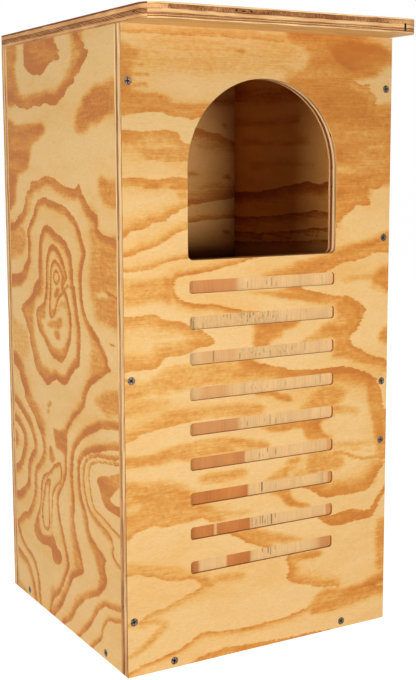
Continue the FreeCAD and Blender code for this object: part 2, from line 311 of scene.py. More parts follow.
# Dull zinc on steel: cloudy colour and gloss with fine scratches
def makeZinc():
    group, put, give = newGroup("zincSkin", [("Point", "v"), ("Bright", "c"), ("Dull", "c")], skinSockets)
    cloud = grainNoise(group, put["Point"], (1.6, 1.6, 1.6), 3.0, 0.6)
    scratch = grainNoise(group, put["Point"], (0.25, 3.0, 3.0), 2.0)
    color = mixColor(group, ease(group, cloud, 0.38, 0.66), put["Bright"], put["Dull"])
    group.links.new(color, give["Color"])
    group.links.new(calc(group, "MULTIPLY_ADD", cloud, 0.4, 0.16), give["Roughness"])
    group.links.new(calc(group, "ADD", cloud, scratch), give["Height"])
    return group


ringHill = makeRingHill()
grainWaver = makeWaver()
ringFigure = makeRingFigure()
drawnFigure = makeDrawnFigure()
veneer = makeVeneer()
plyEdge = makePlyEdge("plyEdge", plyBounds)
roofPlyEdge = makePlyEdge("roofPlyEdge", roofBounds)
zincSkin = makeZinc()
print("shared grain, edge and steel groups made")


# Face coordinates in millimetres: x along the grain from the face's left edge, z up it, y into the board
def facePoint(tree, turn, origin):
    coords = tree.nodes.new("ShaderNodeTexCoord").outputs["Object"]
    sockets = {"Vector": coords, "Rotation": turn, "Scale": (1000, 1000, 1000), "Location": origin}
    return addNode(tree, "ShaderNodeMapping", sockets).outputs[0]


def dress(tree, shader, skin, bumpDistance, bumpStrength):
    tree.links.new(skin["Color"], shader.inputs["Base Color"])
    tree.links.new(skin["Roughness"], shader.inputs["Roughness"])
    sockets = {"Height": skin["Height"], "Distance": bumpDistance, "Strength": bumpStrength}
    bump = addNode(tree, "ShaderNodeBump", sockets)
    tree.links.new(bump.outputs[0], shader.inputs["Normal"])


def woodTones(*levels):
    return dict(zip(toneNames, (tone(*level) for level in levels)))


veneerTones = woodTones((240, 199, 136), (234, 180, 101), (219, 147, 66), (197, 116, 48))
innerShadedTones = woodTones((238, 180, 108), (226, 160, 82), (204, 124, 52), (170, 90, 32))  # deeper and redder inside: painted shade
rightShadedTones = woodTones((234, 166, 88), (220, 144, 66), (194, 108, 40), (160, 78, 25))  # redder right wall: painted shade
hiddenShadedTones = woodTones((196, 142, 82), (184, 124, 62), (164, 98, 42), (138, 74, 28))  # darker, out of the light: painted shade
veneerSettings = {"waver": 26.0, "ringBlend": 1.1, "bump": (0.0004, 0.35), "gloss": 0.14}
edgeSettings = {"bump": (0.0006, 0.6), "gloss": 0.1}


# Veneer of a face: rings round a list of hills, or the drawn grain; shade is painted shade, easing the
# colour's brightness by height
def veneerMaterial(name, turn, origin, hills=None, depth=1.0, ragged=1.0, tones=veneerTones, shade=None):
    material, tree, shader = newMaterial(name)
    point = facePoint(tree, turn, origin)
    if hills:
        wavered = useGroup(tree, grainWaver, {"Point": point, "Amount": veneerSettings["waver"]})["Point"]
        level = None
        for x, z, left, right, down, up, base, spread in hills:
            sockets = {"Point": wavered, "Centre": (x, 0, z), "Level": base, "Spread": spread}
            sockets.update({"Low Reach": (left, 1, down), "High Reach": (right, 1, up)})
            hill = useGroup(tree, ringHill, sockets)["Level"]
            if level is None:
                level = hill
            else:
                level = calc(tree, "SMOOTH_MIN", level, hill, veneerSettings["ringBlend"])
        dark = useGroup(tree, ringFigure, {"Point": point, "Level": level})["Dark"]
    else:
        drawn = addNode(tree, "ShaderNodeAttribute", attribute_name="figure").outputs
        sockets = {"Point": point, "Drawn": drawn["Color"], "Steep": drawn["Alpha"], "Ragged": ragged}
        dark = useGroup(tree, drawnFigure, sockets)["Dark"]
    dark = calc(tree, "MULTIPLY", dark, depth)
    skin = useGroup(tree, veneer, {"Point": point, "Dark": dark, **tones})
    dress(tree, shader, skin, *veneerSettings["bump"])
    # painted shade: the base colour eased darker by height, where the light falls off
    if shade:
        value = ease(tree, splitPoint(tree, point)["Z"], *shade)
        tree.links.new(brighten(tree, skin["Color"], value), shader.inputs["Base Color"])
    shader.inputs["Specular IOR Level"].default_value = veneerSettings["gloss"]
    return material


# Edge of a board: the face whose coordinates it counts from, which plies are end grain, how brown each is
def edgeMaterial(name, face, swap, plies, age, stack=plyEdge):
    material, tree, shader = newMaterial(name)
    point = facePoint(tree, *facesOut[face])
    skin = useGroup(tree, stack, {"Point": point, "Swap": swap, "Age": age, **dict(zip(plyNames, plies))})
    dress(tree, shader, skin, *edgeSettings["bump"])
    shader.inputs["Specular IOR Level"].default_value = edgeSettings["gloss"]
    return material, tree, shader, point, skin


# Grain drawn on the front: "ring" and "edge" are crisp ring edges with the latewood on the left of the
# way they run; "wash" is a patch with a soft rim, "soft" a feathered streak and "lift" a pale one. Strength,
# width, points in millimetres
frontFigure = [
    ("edge", 0.55, 8, [(-6, 631), (50, 631.5), (110, 632), (180, 630)]),  # under the roof
    ("soft", 0.3, 24, [(30, 612), (180, 614)]),
    ("soft", 1.0, 2.6, [(128, 617.5), (134, 617.5)]),
    ("soft", 0.8, 1.6, [(127, 618), (133, 618)]),  # pin knot
    ("wash", 0.72, 5, [(182, 560), (246, 450), (252, 458), (264, 464), (270, 470), (292, 474), (291, 488),
        (302, 487), (330, 493), (330, 567), (296, 568), (292, 578), (284, 584), (268, 590), (272, 596),
        (286, 598), (297, 600), (307, 607), (330, 614), (318, 626), (300, 633), (284, 640), (268, 700),
        (210, 700), (184, 642), (188, 630), (204, 626), (212, 616), (205, 606), (195, 602),
        (182, 598)]),  # upper right
    ("edge", 0.72, 14, [(244, 436), (250, 445), (255, 450), (263, 456), (270, 459), (274, 465),
        (292, 465), (288, 475), (290, 484), (301, 481), (311, 486), (330, 487)]),
    ("wash", 1.0, 7, [(228, 632), (262, 638), (300, 634), (322, 622), (306, 612), (284, 604), (262, 602),
        (242, 612)]),
    ("edge", 0.7, 10, [(330, 571), (297, 571), (300, 575), (297, 580), (290, 586), (290, 592), (280, 590),
        (272, 594)]),
    ("soft", 0.95, 10, [(272, 620), (304, 617)]),
    ("lift", 0.3, 20, [(292, 506), (330, 510)]),
    ("lift", 0.5, 4, [(250, 502), (270, 501)]),
    ("lift", 0.5, 2, [(291, 526.5), (307, 526.5)]),
    ("soft", 0.85, 5, [(251, 512), (252, 522)]),
    ("soft", 0.85, 6, [(252, 474), (257, 486)]),
    ("wash", 0.72, 4, [(-6, 558), (20, 562), (40, 563), (60, 559), (100, 560), (100, 568), (58, 568),
        (50, 574), (40, 576), (14, 578), (12, 590), (13, 604), (20, 612), (17, 618),
        (-6, 619)]),  # left of the arch
    ("edge", 0.72, 12, [(-6, 553), (20, 557), (40, 558), (50, 556), (60, 554), (75, 553), (100, 556)]),
    ("soft", 0.6, 2, [(12, 602), (24, 602)]),
    ("soft", 0.6, 2.2, [(12, 593), (28, 593)]),
    ("soft", 0.6, 2.2, [(14, 584), (26, 584)]),
    ("edge", 0.72, 20, [(76, 529), (66, 530.5), (62, 535.5), (60, 540.5), (48, 541.5), (30, 541),
        (15, 540.5), (-6, 541.5)]),
    ("soft", 0.75, 5, [(40, 535), (57, 535)]),
    ("soft", 0.55, 8, [(26, 521), (70, 521)]),
    ("edge", 0.55, 9, [(30, 513), (45, 512), (75, 511.5)]),
    ("edge", 0.7, 10, [(76, 494), (68, 495), (58, 497), (48, 497), (38, 494.3), (30, 495), (20, 497),
        (-6, 496)]),
    ("soft", 0.75, 4, [(27, 488), (36, 488)]),
    ("soft", 0.75, 4, [(54, 488), (72, 487)]),
    ("soft", 0.5, 4, [(64, 482), (66, 472)]),
    ("edge", 0.72, 10, [(-6, 438), (0, 440), (10, 446), (20, 447), (27, 449), (31, 453), (40, 454),
        (48, 456), (52, 461), (60, 464), (68, 467), (78, 470)]),
    ("edge", 0.68, 7, [(-6, 421.5), (8, 422), (15, 424), (20, 427), (30, 428), (36, 430), (42, 433),
        (48, 437), (55, 441), (60, 444), (68, 446), (78, 449)]),
    ("edge", 0.6, 5, [(-6, 408), (10, 407), (20, 408), (30, 409), (42, 412), (50, 414), (60, 416),
        (70, 417), (78, 418.5)]),
    ("edge", 0.75, 6, [(165, 357), (150, 359.5), (140, 360.8), (130, 362.5), (120, 365), (110, 367.5),
        (100, 370), (85, 371.3), (72, 373), (62, 376), (57, 380), (55, 386), (54, 392), (56, 396.5),
        (60, 399.2), (70, 400.6), (80, 401.5), (90, 402.8), (100, 404.6), (110, 406.2), (120, 408.5),
        (130, 410), (140, 412), (152, 414.5), (165, 417)]),  # round the first groove
    ("wash", 0.5, 4, [(-6, 373.5), (15, 374), (30, 376), (42, 377), (48, 373), (54, 376), (53, 388),
        (52, 396), (46, 402), (38, 399.5), (20, 398.5), (-6, 399)]),
    ("soft", 0.7, 4, [(47, 397), (49, 388), (47, 380)]),
    ("edge", 0.74, 16, [(-6, 309.5), (10, 309.8), (25, 309.8), (33, 310.5), (38, 315), (41, 319.5),
        (48, 321.3), (60, 321.8), (70, 323), (80, 326.5), (93, 328), (100, 329.6), (103, 331.6),
        (100, 334.5), (97, 337.5), (91, 340.8), (85, 344.5), (78, 346.5), (72, 350), (66, 354),
        (58, 356.3), (48, 357.3), (42, 359.8), (37, 362.8), (31, 364.6), (22, 364.2), (10, 363.3),
        (-6, 364)]),  # tongue
    ("lift", 0.6, 8, [(6, 336), (20, 332)]),
    ("wash", 0.72, 2.5, [(148, 323), (164, 323), (170, 328.5), (181, 331), (183, 337), (196, 340),
        (203, 345), (203, 348), (149, 348), (147, 340), (146, 332)]),
    ("wash", 0.7, 4, [(160, 394), (200, 392), (238, 398), (250, 406), (275, 411), (295, 417), (330, 418),
        (330, 437), (300, 431), (275, 425), (250, 419), (235, 413), (215, 410), (200, 408), (185, 404),
        (170, 400)]),
    ("edge", 0.7, 9, [(230, 394), (240, 397), (250, 402), (262, 404.3), (275, 406), (285, 409),
        (295, 412), (302, 413.5), (330, 413.5)]),
    ("soft", 0.95, 3, [(290, 424), (303, 425)]),
    ("wash", 0.8, 3.5, [(330, 398), (312, 397.5), (306, 395), (300, 391), (296, 386), (298, 381),
        (305, 377), (312, 372), (330, 369)]),  # right edge
    ("soft", 0.45, 3, [(282, 386), (298, 385)]),
    ("soft", 0.3, 4, [(264, 386), (296, 388)]),
    ("soft", 0.4, 5, [(302, 376), (315, 374)]),
    ("wash", 0.72, 3, [(205, 323.5), (226, 324), (246, 323), (247, 310), (246, 303.5), (256, 303),
        (266, 301.3), (270, 298), (280, 295), (290, 293.5), (300, 291), (310, 288), (330, 283),
        (330, 286), (310, 293), (290, 301), (272, 309), (264, 316), (263, 324), (272, 335), (282, 350),
        (276, 358), (262, 363), (235, 368), (215, 373), (195, 378), (158, 380), (142, 380), (150, 379),
        (170, 374), (190, 369), (210, 365), (235, 362), (247, 361), (247, 346), (233, 340),
        (219, 330)]),  # the large bend
    ("edge", 0.8, 12, [(330, 289.5), (319, 293.5), (310, 297.5), (300, 301), (290, 306), (282, 310),
        (275, 313), (269, 317.5), (268, 322), (270, 327), (276, 331), (281, 337), (284, 342), (287, 347),
        (289, 352), (287, 356), (282, 359), (277, 362), (271, 365.3), (264, 368), (255, 369.5),
        (245, 371), (235, 373), (225, 375), (215, 377.5), (207, 380), (195, 383)]),
    ("soft", 0.92, 5, [(262, 363), (277, 355), (278, 346)]),
    ("lift", 0.45, 7, [(248, 345), (256, 342)]),
    ("wash", 0.72, 3, [(330, 333), (316, 331.5), (309, 327), (307, 321), (310, 315), (318, 312),
        (330, 311)]),
    ("edge", 0.84, 19, [(206, 167), (213, 164), (220, 160.5), (226, 157), (232, 153), (239, 151),
        (250, 150.2), (265, 149.8), (280, 150.3), (290, 151), (297, 153.5), (302, 158.5), (306, 164),
        (310, 169.5), (314, 174.5), (318, 180), (324, 186), (326, 210), (324, 232), (316, 238),
        (314.5, 244), (313, 252), (312, 259), (310, 265), (307, 271.5), (302, 277), (296, 280.5),
        (290, 283.8), (280, 287.3), (270, 290.3), (262, 292), (250, 293), (235, 293), (222, 292.6),
        (210, 293.6), (200, 294.8), (190, 296.8), (180, 299), (170, 301.5), (160, 304.5), (148, 308),
        (140, 310)]),  # oval, right
    ("soft", 0.85, 6, [(297, 270), (300, 255), (303, 240), (309, 225), (312, 205), (313, 192)]),
    ("wash", 0.6, 4.5, [(208, 251), (247, 251), (262, 258), (262, 268), (250, 273), (232, 274.5),
        (222, 271), (217, 265), (212, 258)]),
    ("soft", 0.45, 6, [(250, 247), (276, 243)]),
    ("wash", 0.7, 2, [(155, 240), (160, 236), (167, 232.5), (176, 231), (186, 230.5), (196, 231.7),
        (206, 231.5), (208, 226), (211, 220.5), (216, 217), (247, 216), (240, 220), (234, 224),
        (231, 230), (232, 236), (247, 242), (200, 243)]),
    ("soft", 0.45, 6, [(250, 207), (298, 203)]),
    ("soft", 0.75, 2, [(250, 199.5), (264, 196.5), (276, 191.5), (290, 188), (319, 184.5)]),
    ("soft", 0.55, 1.6, [(272, 200), (290, 196), (319, 193)]),
    ("lift", 0.8, 1.4, [(306, 183.3), (322, 182.6)]),
    ("wash", 0.55, 4.5, [(211, 179), (247, 179), (262, 184), (258, 196), (247, 203), (216, 203),
        (213, 190)]),
    ("wash", 0.52, 3, [(163, 179.5), (192, 179.5), (190, 185), (200, 190), (206, 196), (204, 202),
        (190, 200), (186, 194), (174, 187)]),
    ("soft", 0.6, 4, [(300, 160), (303, 175), (309, 190)]),
    ("wash", 0.75, 2, [(165, 168.5), (172, 163.5), (178, 160.5), (183, 156), (187, 151.3), (192, 147.8),
        (199, 146), (206, 143.5), (220, 143.5), (216, 147), (208, 149.5), (201, 152.5), (196, 157),
        (193, 162), (191, 168.5)]),
    ("soft", 0.8, 3.2, [(150, 274.6), (162, 273.6), (174, 272.2)]),
    ("wash", 0.82, 1.4, [(171, 268), (180, 264.8), (187, 262), (193, 261.5), (193.5, 267), (186, 269.8),
        (176, 270.8), (170, 270.8)]),
    ("wash", 0.52, 5, [(-6, 283), (18, 284), (30, 288), (40, 284), (48, 286), (75, 287), (165, 287),
        (152, 298), (147, 310), (90, 312), (50, 312), (40, 308), (33, 303), (20, 299),
        (-6, 299)]),  # left, middle
    ("soft", 0.62, 4, [(47, 297), (58, 289)]),
    ("soft", 0.62, 4, [(88, 294), (105, 292)]),
    ("soft", 0.6, 4, [(130, 297), (140, 292)]),
    ("soft", 1.0, 1.2, [(0.5, 302), (2, 302)]),
    ("soft", 0.5, 8, [(48, 262), (75, 262), (105, 261), (150, 257)]),
    ("soft", 0.3, 9, [(-5, 272), (40, 274)]),
    ("edge", 0.55, 14, [(-6, 239), (0, 240), (8, 241.5), (15, 245), (20, 247), (35, 248.5), (50, 251),
        (60, 252.5), (76, 254)]),
    ("wash", 0.56, 2.5, [(-6, 216), (20, 214.5), (38, 213.5), (50, 216), (62, 214.5), (73, 213),
        (80, 216), (165, 215), (165, 221), (150, 224.5), (140, 227.5), (128, 230), (112, 232.5),
        (95, 233.2), (80, 232.8), (65, 231.3), (50, 230.3), (40, 228.8), (30, 226), (15, 225.3),
        (-6, 226)]),
    ("lift", 0.7, 1.6, [(127, 218.3), (142, 218)]),
    ("soft", 0.65, 3, [(86, 219), (118, 219)]),
    ("soft", 0.65, 2.5, [(140, 221.5), (162, 219.5)]),
    ("wash", 0.55, 5, [(-6, 144), (9, 153), (30, 157), (46, 153), (65, 155), (89, 154), (96, 150),
        (138, 149), (138, 151), (118, 153), (104, 157), (96, 163), (84, 168), (74, 182), (62, 190),
        (44, 196), (20, 196), (-6, 198)]),
    ("edge", 0.6, 12, [(-6, 139), (4, 143.5), (9, 148.5), (20, 150.8), (30, 152.8), (38, 150.8),
        (46, 148.6), (55, 149.6), (65, 151), (80, 151.6), (89, 150.3), (92, 146), (104, 145)]),
    ("lift", 0.7, 5, [(0, 172), (9, 173)]),
    ("soft", 0.7, 3, [(0, 143), (3, 147)]),
    ("soft", 0.65, 3, [(40, 152), (86, 154)]),
    ("soft", 0.62, 4, [(8, 184), (40, 178)]),
    ("soft", 0.55, 7, [(90, 192), (130, 192)]),
    ("wash", 0.66, 3.5, [(120, 132.5), (132, 125), (142, 119), (157, 112), (205, 108), (198, 113),
        (188, 117.5), (178, 121), (166, 125), (155, 129), (150, 133)]),
    ("edge", 0.84, 8, [(114, 132.5), (122, 127), (130, 122), (136, 118.5), (142, 115.5), (150, 112.5),
        (157, 109.5), (164, 107)]),
    ("edge", 0.58, 7, [(-6, 107), (5, 105.5), (15, 103.5), (28, 99.8), (35, 96.8), (42, 93), (50, 91),
        (60, 90), (70, 90.3), (77, 87.5), (82, 84), (85, 81), (81, 78), (74, 76.2), (66, 73.5), (58, 70),
        (50, 68), (40, 66), (30, 64.5), (22, 62), (16, 58.5)]),  # pale tongue, lower left
    ("soft", 0.35, 7, [(0, 112), (30, 106), (56, 98)]),
    ("soft", 0.5, 5, [(88, 86), (92, 80)]),
    ("soft", 0.35, 5, [(102, 84), (130, 83)]),
    ("soft", 0.5, 4, [(2, 22), (18, 28), (30, 37), (40, 46)]),
    ("soft", 0.35, 4, [(0, 53), (28, 53), (42, 50)]),
    ("edge", 0.72, 5, [(215, 31), (200, 28.5), (185, 26.5), (165, 25.5), (145, 25), (128, 25.5),
        (112, 26.3), (98, 28), (88, 30.5), (80, 28.5), (74, 25), (68, 22.3), (60, 19.8), (50, 16.8),
        (40, 14.3), (30, 12.2), (20, 10.5), (12, 9), (5, 6.5), (-6, 2)]),  # foot
    ("edge", 0.75, 9, [(240, 1), (215, 2.5), (190, 3), (165, 4), (150, 5), (130, 6.5), (115, 8),
        (100, 7.6), (90, 6.5), (80, 4), (70, 0), (66, -4)]),
    ("ring", 0.85, 40, [(226, 132.5), (233, 127), (239, 121), (247, 118), (256, 117), (264, 116.3),
        (270, 117.5), (278, 119.3), (290, 119.3), (298, 119.3), (303, 122.5), (307, 128), (311, 135),
        (316, 142.5), (326, 155), (322, 158), (314, 149), (308, 142), (303, 135.5), (298, 130),
        (292, 128.8), (284, 130.5), (274, 132.5), (265, 132), (256, 131), (246, 130.5),
        (236, 132.5)]),  # lower right
    ("soft", 0.65, 6, [(316, 112), (315, 85), (316, 62)]),
    ("edge", 0.76, 12, [(186, 100), (189, 90), (190, 84), (192.5, 80), (190, 74), (189, 70), (193, 65.5),
        (200, 61.5), (212, 57.5), (225, 54), (238, 50), (250, 48)]),
    ("soft", 0.65, 6, [(196, 89), (226, 89)]),
    ("wash", 0.66, 3.5, [(222, 22), (240, 21.5), (258, 21.5), (275, 23.5), (295, 27), (310, 28),
        (330, 27), (330, 57), (312, 54), (300, 50.5), (290, 47), (280, 45.3), (266, 45), (252, 47),
        (240, 48), (228, 44), (218, 32)]),
    ("soft", 0.85, 2.5, [(252, 41), (280, 41), (305, 43), (325, 47)]),
    ("lift", 0.8, 2.2, [(311, 39.5), (325, 40)]),
]

# Grain drawn on the left side, x from the box's back edge
leftFigure = [
    ("edge", 0.88, 22, [(72, 700), (69, 622), (72, 615), (78, 611), (88, 607), (98, 605), (110, 604),
        (115, 603.5), (122, 605), (130, 608), (138, 612), (146, 615), (155, 617), (167, 616.5),
        (169, 620), (164, 623), (168, 626), (162, 628), (161, 634), (150, 640),
        (142, 700)]),  # top bullseye
    ("wash", 0.8, 3, [(73, 700), (72, 622), (85, 612), (115, 607), (140, 616), (160, 620), (158, 632),
        (144, 700)]),
    ("edge", 0.9, 11, [(4, 584), (22, 580.5), (30, 579), (40, 575.5), (50, 572.5), (60, 571), (70, 569),
        (76, 568), (84, 569.5), (95, 571.5), (112, 570.5), (128, 573), (138, 571), (150, 570.5),
        (160, 571), (168, 574), (175, 577), (181, 580), (186, 584), (192, 587), (202, 589.5), (207, 592),
        (206, 595), (212, 598), (220, 601), (225, 606), (230, 608.5), (236, 613), (241, 617), (242, 620),
        (239, 622), (231, 623), (235, 627), (228, 630), (222, 634), (217, 640), (212, 700)]),
    ("wash", 0.76, 5, [(4, 584), (50, 578), (56, 586), (44, 600), (40, 616), (46, 632), (44, 700),
        (4, 700)]),
    ("wash", 0.55, 4, [(197, 700), (200, 625), (196, 612), (188, 603), (176, 596), (186, 590), (205, 596),
        (222, 610), (230, 622), (215, 700)]),
    ("wash", 0.84, 4, [(4, 552), (40, 552), (70, 553), (100, 552), (118, 551), (126, 546), (120, 540),
        (100, 533), (88, 528), (82, 520), (78, 511), (72, 504), (60, 500), (45, 497), (40, 490),
        (36, 480), (34, 470), (30, 463), (4, 461)]),  # patch at the back edge
    ("wash", 0.9, 6, [(4, 500), (30, 500), (34, 488), (28, 474), (4, 468)]),
    ("wash", 0.7, 5, [(320, 594), (300, 591), (285, 588), (270, 586), (255, 585), (240, 579), (228, 575),
        (222, 567), (211, 561), (210, 555), (207, 546), (214, 540), (228, 541), (245, 547), (258, 548),
        (272, 552), (285, 556), (320, 563)]),  # patches at the front edge
    ("wash", 0.54, 4, [(320, 497), (300, 494), (285, 492), (270, 498), (262, 494), (261, 486), (266, 478),
        (272, 471), (285, 469), (320, 468)]),
    ("edge", 0.82, 9, [(320, 435), (302, 437), (280, 440.5), (266, 442), (260, 446), (259, 453),
        (258, 458), (248, 462), (240, 465), (232, 471), (226, 476), (220, 481), (218, 487), (214, 489),
        (208, 486), (202, 484), (188, 484.5), (175, 486), (162, 489), (152, 492), (142, 495), (132, 496),
        (125, 495.5), (115, 494), (105, 491.5), (95, 490), (84, 489), (80, 486), (78, 481), (70, 478),
        (64, 472), (61, 464), (58, 459), (50, 453), (40, 449), (30, 442), (22, 440),
        (4, 440)]),  # outer arch
    ("wash", 0.42, 4, [(60, 458), (72, 472), (84, 482), (88, 476), (82, 464), (74, 454), (62, 447),
        (46, 440), (40, 446)]),
    ("edge", 0.92, 7, [(220, 266), (226, 274), (236, 283), (250, 290), (264, 297), (275, 303), (285, 307),
        (277, 311), (278, 315), (272, 322), (263, 329), (258, 335), (252, 339), (240, 345), (230, 352),
        (222, 362), (218, 372), (217, 382), (217, 392), (219, 402), (224, 412), (229, 420), (227, 423),
        (222, 429), (218, 436), (214, 443), (210, 449), (202, 454), (192, 458), (185, 462), (175, 465),
        (162, 467), (150, 468.5), (140, 470), (130, 471), (122, 472.5), (112, 471.5), (103, 470),
        (97, 466), (92, 461), (90, 456), (82, 450), (75, 443), (70, 438), (67, 434), (68, 430), (70, 420),
        (68, 410), (66, 400), (60, 396), (52, 389), (44, 384.5), (30, 381.5), (4, 378)]),  # second arch
    ("wash", 0.55, 6, [(236, 340), (252, 334), (268, 322), (276, 309), (262, 300), (240, 290), (236, 300),
        (238, 320)]),
    ("wash", 0.85, 3, [(4, 378), (30, 381), (44, 384), (54, 390), (64, 398), (70, 398), (70, 389),
        (62, 380), (52, 374), (40, 369), (25, 366), (4, 365)]),
    ("wash", 0.5, 4, [(4, 441), (30, 441), (44, 438), (56, 436), (64, 428), (62, 416), (52, 408),
        (40, 404), (4, 401)]),
    ("wash", 0.42, 5, [(242, 468), (258, 458), (262, 444), (280, 440), (320, 435), (320, 345), (290, 348),
        (262, 350), (248, 354), (243, 365), (238, 380), (236, 400), (240, 425), (238, 448)]),
    ("wash", 0.6, 3, [(250, 374), (256, 384), (280, 384), (320, 380), (320, 352), (290, 351), (260, 353),
        (250, 360)]),
    ("wash", 0.55, 4, [(320, 438), (280, 436), (262, 426), (258, 408), (262, 392), (290, 390),
        (320, 392)]),
    ("soft", 0.9, 2.2, [(276, 383), (304, 380)]),
    ("lift", 0.95, 3.6, [(258, 379.5), (266, 381), (274, 380)]),
    ("ring", 0.92, 8, [(194, 400), (193, 408), (190, 416), (184, 422), (178, 428), (170, 431), (160, 434),
        (150, 436), (140, 440), (132, 443), (125, 444), (118, 442), (112, 438), (107, 432), (103, 424),
        (101, 412), (100, 400), (100, 390), (100, 384), (94, 380), (86, 375), (82, 368), (78, 362),
        (70, 358), (58, 353), (48, 348), (43, 343), (46, 340), (52, 334), (58, 328), (64, 322), (68, 314),
        (70, 306), (74, 300), (79, 293), (81, 286), (85, 280), (92, 276), (100, 272), (110, 268),
        (118, 265), (125, 267), (132, 271), (140, 275), (150, 274.5), (160, 273), (168, 273), (176, 277),
        (183, 284), (190, 290), (198, 296), (206, 300), (208, 305), (210, 315), (211, 325), (212, 335),
        (210, 345), (206, 356), (202, 368), (200, 376), (196, 384), (195, 392)]),  # third ring
    ("wash", 0.72, 4, [(46, 343), (60, 352), (80, 364), (92, 376), (102, 380), (108, 372), (104, 364),
        (92, 360), (86, 352), (80, 338), (82, 322), (88, 308), (95, 297), (104, 288), (120, 284),
        (150, 282), (172, 284), (166, 276), (140, 278), (118, 268), (100, 276), (86, 284), (76, 304),
        (66, 322)]),
    ("wash", 0.6, 3, [(101, 412), (108, 410), (112, 390), (112, 376), (104, 378), (101, 392)]),
    ("ring", 0.86, 6, [(180, 392), (176, 398), (172, 404), (168, 410), (160, 417), (150, 422), (142, 423),
        (133, 420), (126, 414), (123, 408), (121, 400), (120, 390), (119, 380), (117, 368), (113, 358),
        (108, 355), (100, 353), (94, 349), (89, 344), (89, 340), (92, 332), (97, 325), (103, 320),
        (112, 316), (118, 312), (122, 306), (130, 302), (138, 299), (150, 297.5), (160, 297), (168, 300),
        (172, 305), (178, 312), (184, 320), (187, 328), (189, 338), (188, 348), (186, 356), (183, 364),
        (179, 371), (172, 378), (168, 380), (174, 385)]),  # fourth ring
    ("wash", 0.62, 3, [(112, 314), (125, 306), (140, 300), (160, 299), (172, 308), (184, 322), (176, 322),
        (164, 314), (150, 310), (135, 312), (122, 319)]),
    ("wash", 0.66, 2.5, [(91, 342), (98, 350), (110, 353), (118, 347), (114, 339), (104, 337), (112, 326),
        (105, 321), (96, 328)]),
    ("edge", 0.8, 3.6, [(170, 388), (166, 395), (160, 402), (152, 406), (144, 406.5), (138, 403),
        (134, 397), (132, 390), (131, 378), (129, 362), (128, 350), (131, 342), (138, 342), (144, 348),
        (150, 357), (156, 364), (166, 371), (178, 379)]),
    ("soft", 0.7, 1.6, [(170, 389), (166, 395), (160, 399)]),
    ("soft", 0.7, 1.8, [(184, 382), (195, 382.5)]),
    ("ring", 0.85, 2.8, [(160, 388), (157, 393), (152, 396), (146, 395), (141, 391), (140, 387),
        (143, 382), (150, 380), (156, 382.5)]),  # eye
    ("wash", 0.75, 1.5, [(143, 366), (150, 366), (156, 371), (158, 377), (152, 378), (146, 374)]),
    ("wash", 0.66, 2, [(120, 334), (135, 332), (150, 333), (162, 336), (162, 344), (155, 345), (140, 340),
        (128, 338)]),
    ("wash", 0.66, 2, [(141, 330), (150, 332), (157, 330), (156, 323), (148, 320), (142, 323)]),
    ("wash", 0.6, 2, [(129, 345), (140, 344), (146, 348), (148, 353), (138, 351), (130, 351)]),
    ("wash", 0.4, 3, [(150, 352), (160, 362), (176, 366), (182, 356), (180, 346), (174, 356),
        (162, 358)]),
    ("wash", 0.36, 6, [(4, 326), (30, 327), (50, 324), (62, 318), (66, 305), (62, 292), (45, 283),
        (25, 280), (4, 280)]),
    ("soft", 0.5, 3, [(119, 242), (126, 247)]),
    ("soft", 0.45, 2.4, [(118, 234), (121, 238)]),
    ("soft", 0.8, 1.2, [(284, 333.5), (292, 333.5)]),
    ("edge", 0.88, 14, [(4, 279), (14, 276), (20, 274), (27, 270), (32, 268), (34, 262), (38, 256),
        (45, 250), (49, 244), (47, 240), (55, 235), (62, 231), (70, 226), (78, 222), (85, 216),
        (91, 210)]),  # nest at the back
    ("edge", 0.7, 7, [(85, 216), (91, 210), (97, 203), (101, 196), (102, 188), (98, 181), (92, 175),
        (82, 168), (75, 160), (73, 148), (73, 135), (69, 125), (61, 115), (53, 106), (46, 103), (36, 99),
        (26, 92), (14, 84)]),
    ("edge", 0.84, 8, [(4, 233), (20, 228), (30, 224), (40, 219), (50, 214), (60, 208), (68, 201),
        (73, 193), (74, 187), (68, 180), (60, 172), (55, 164), (53, 155), (52, 146), (49, 139), (42, 133),
        (32, 127), (22, 122), (4, 118)]),
    ("edge", 0.84, 9, [(4, 208), (24, 203), (34, 198), (41, 193), (43, 187), (40, 180), (36, 172),
        (30, 164), (22, 157), (4, 150)]),
    ("wash", 0.72, 3, [(4, 197), (18, 195), (23, 190), (24, 183), (20, 176), (4, 171)]),
    ("ring", 0.8, 3.4, [(118, 110), (118, 125), (118, 140), (120, 150), (122, 157), (114, 158),
        (107, 154), (103, 147), (100, 138), (97, 128), (94, 118), (94, 106), (98, 98), (104, 95),
        (111, 96), (116, 101)]),  # loop
    ("wash", 0.6, 2, [(106, 151), (112, 148), (119, 150), (122, 158), (112, 157)]),
    ("ring", 0.8, 4, [(125, 128), (128, 140), (132, 147), (140, 155), (150, 162), (155, 170), (155, 178),
        (152, 184), (146, 184), (138, 181), (130, 177), (122, 170), (112, 165), (103, 161), (97, 156),
        (93, 148), (91, 138), (90, 128), (86, 119), (80, 109), (73, 98), (69, 90), (71, 83), (76, 79),
        (84, 77), (92, 76), (100, 77.5), (108, 78.5), (116, 79), (121, 77), (122, 70), (125, 65),
        (134, 64), (143, 67), (150, 74), (147, 81), (137, 84), (130, 92), (124, 98), (123, 106),
        (124, 116)]),
    ("wash", 0.74, 2, [(71, 84), (80, 79), (95, 78), (115, 80), (124, 82), (126, 90), (120, 93),
        (105, 89), (92, 89), (86, 95), (85, 105), (80, 107), (74, 98)]),
    ("wash", 0.8, 1.5, [(122, 80), (123, 68), (132, 64.5), (143, 68), (149, 74), (147, 80), (138, 83),
        (130, 88), (122, 88)]),
    ("lift", 0.8, 2.4, [(121, 96), (120, 130), (124, 146), (133, 156), (146, 166), (149, 177)]),
    ("wash", 0.78, 1.6, [(120, 196), (126, 197), (130, 192), (135, 186), (130, 180), (124, 179),
        (119, 184)]),
    ("wash", 0.82, 2, [(134, 219), (137, 205), (140, 199), (150, 198), (160, 196), (166, 193), (170, 200),
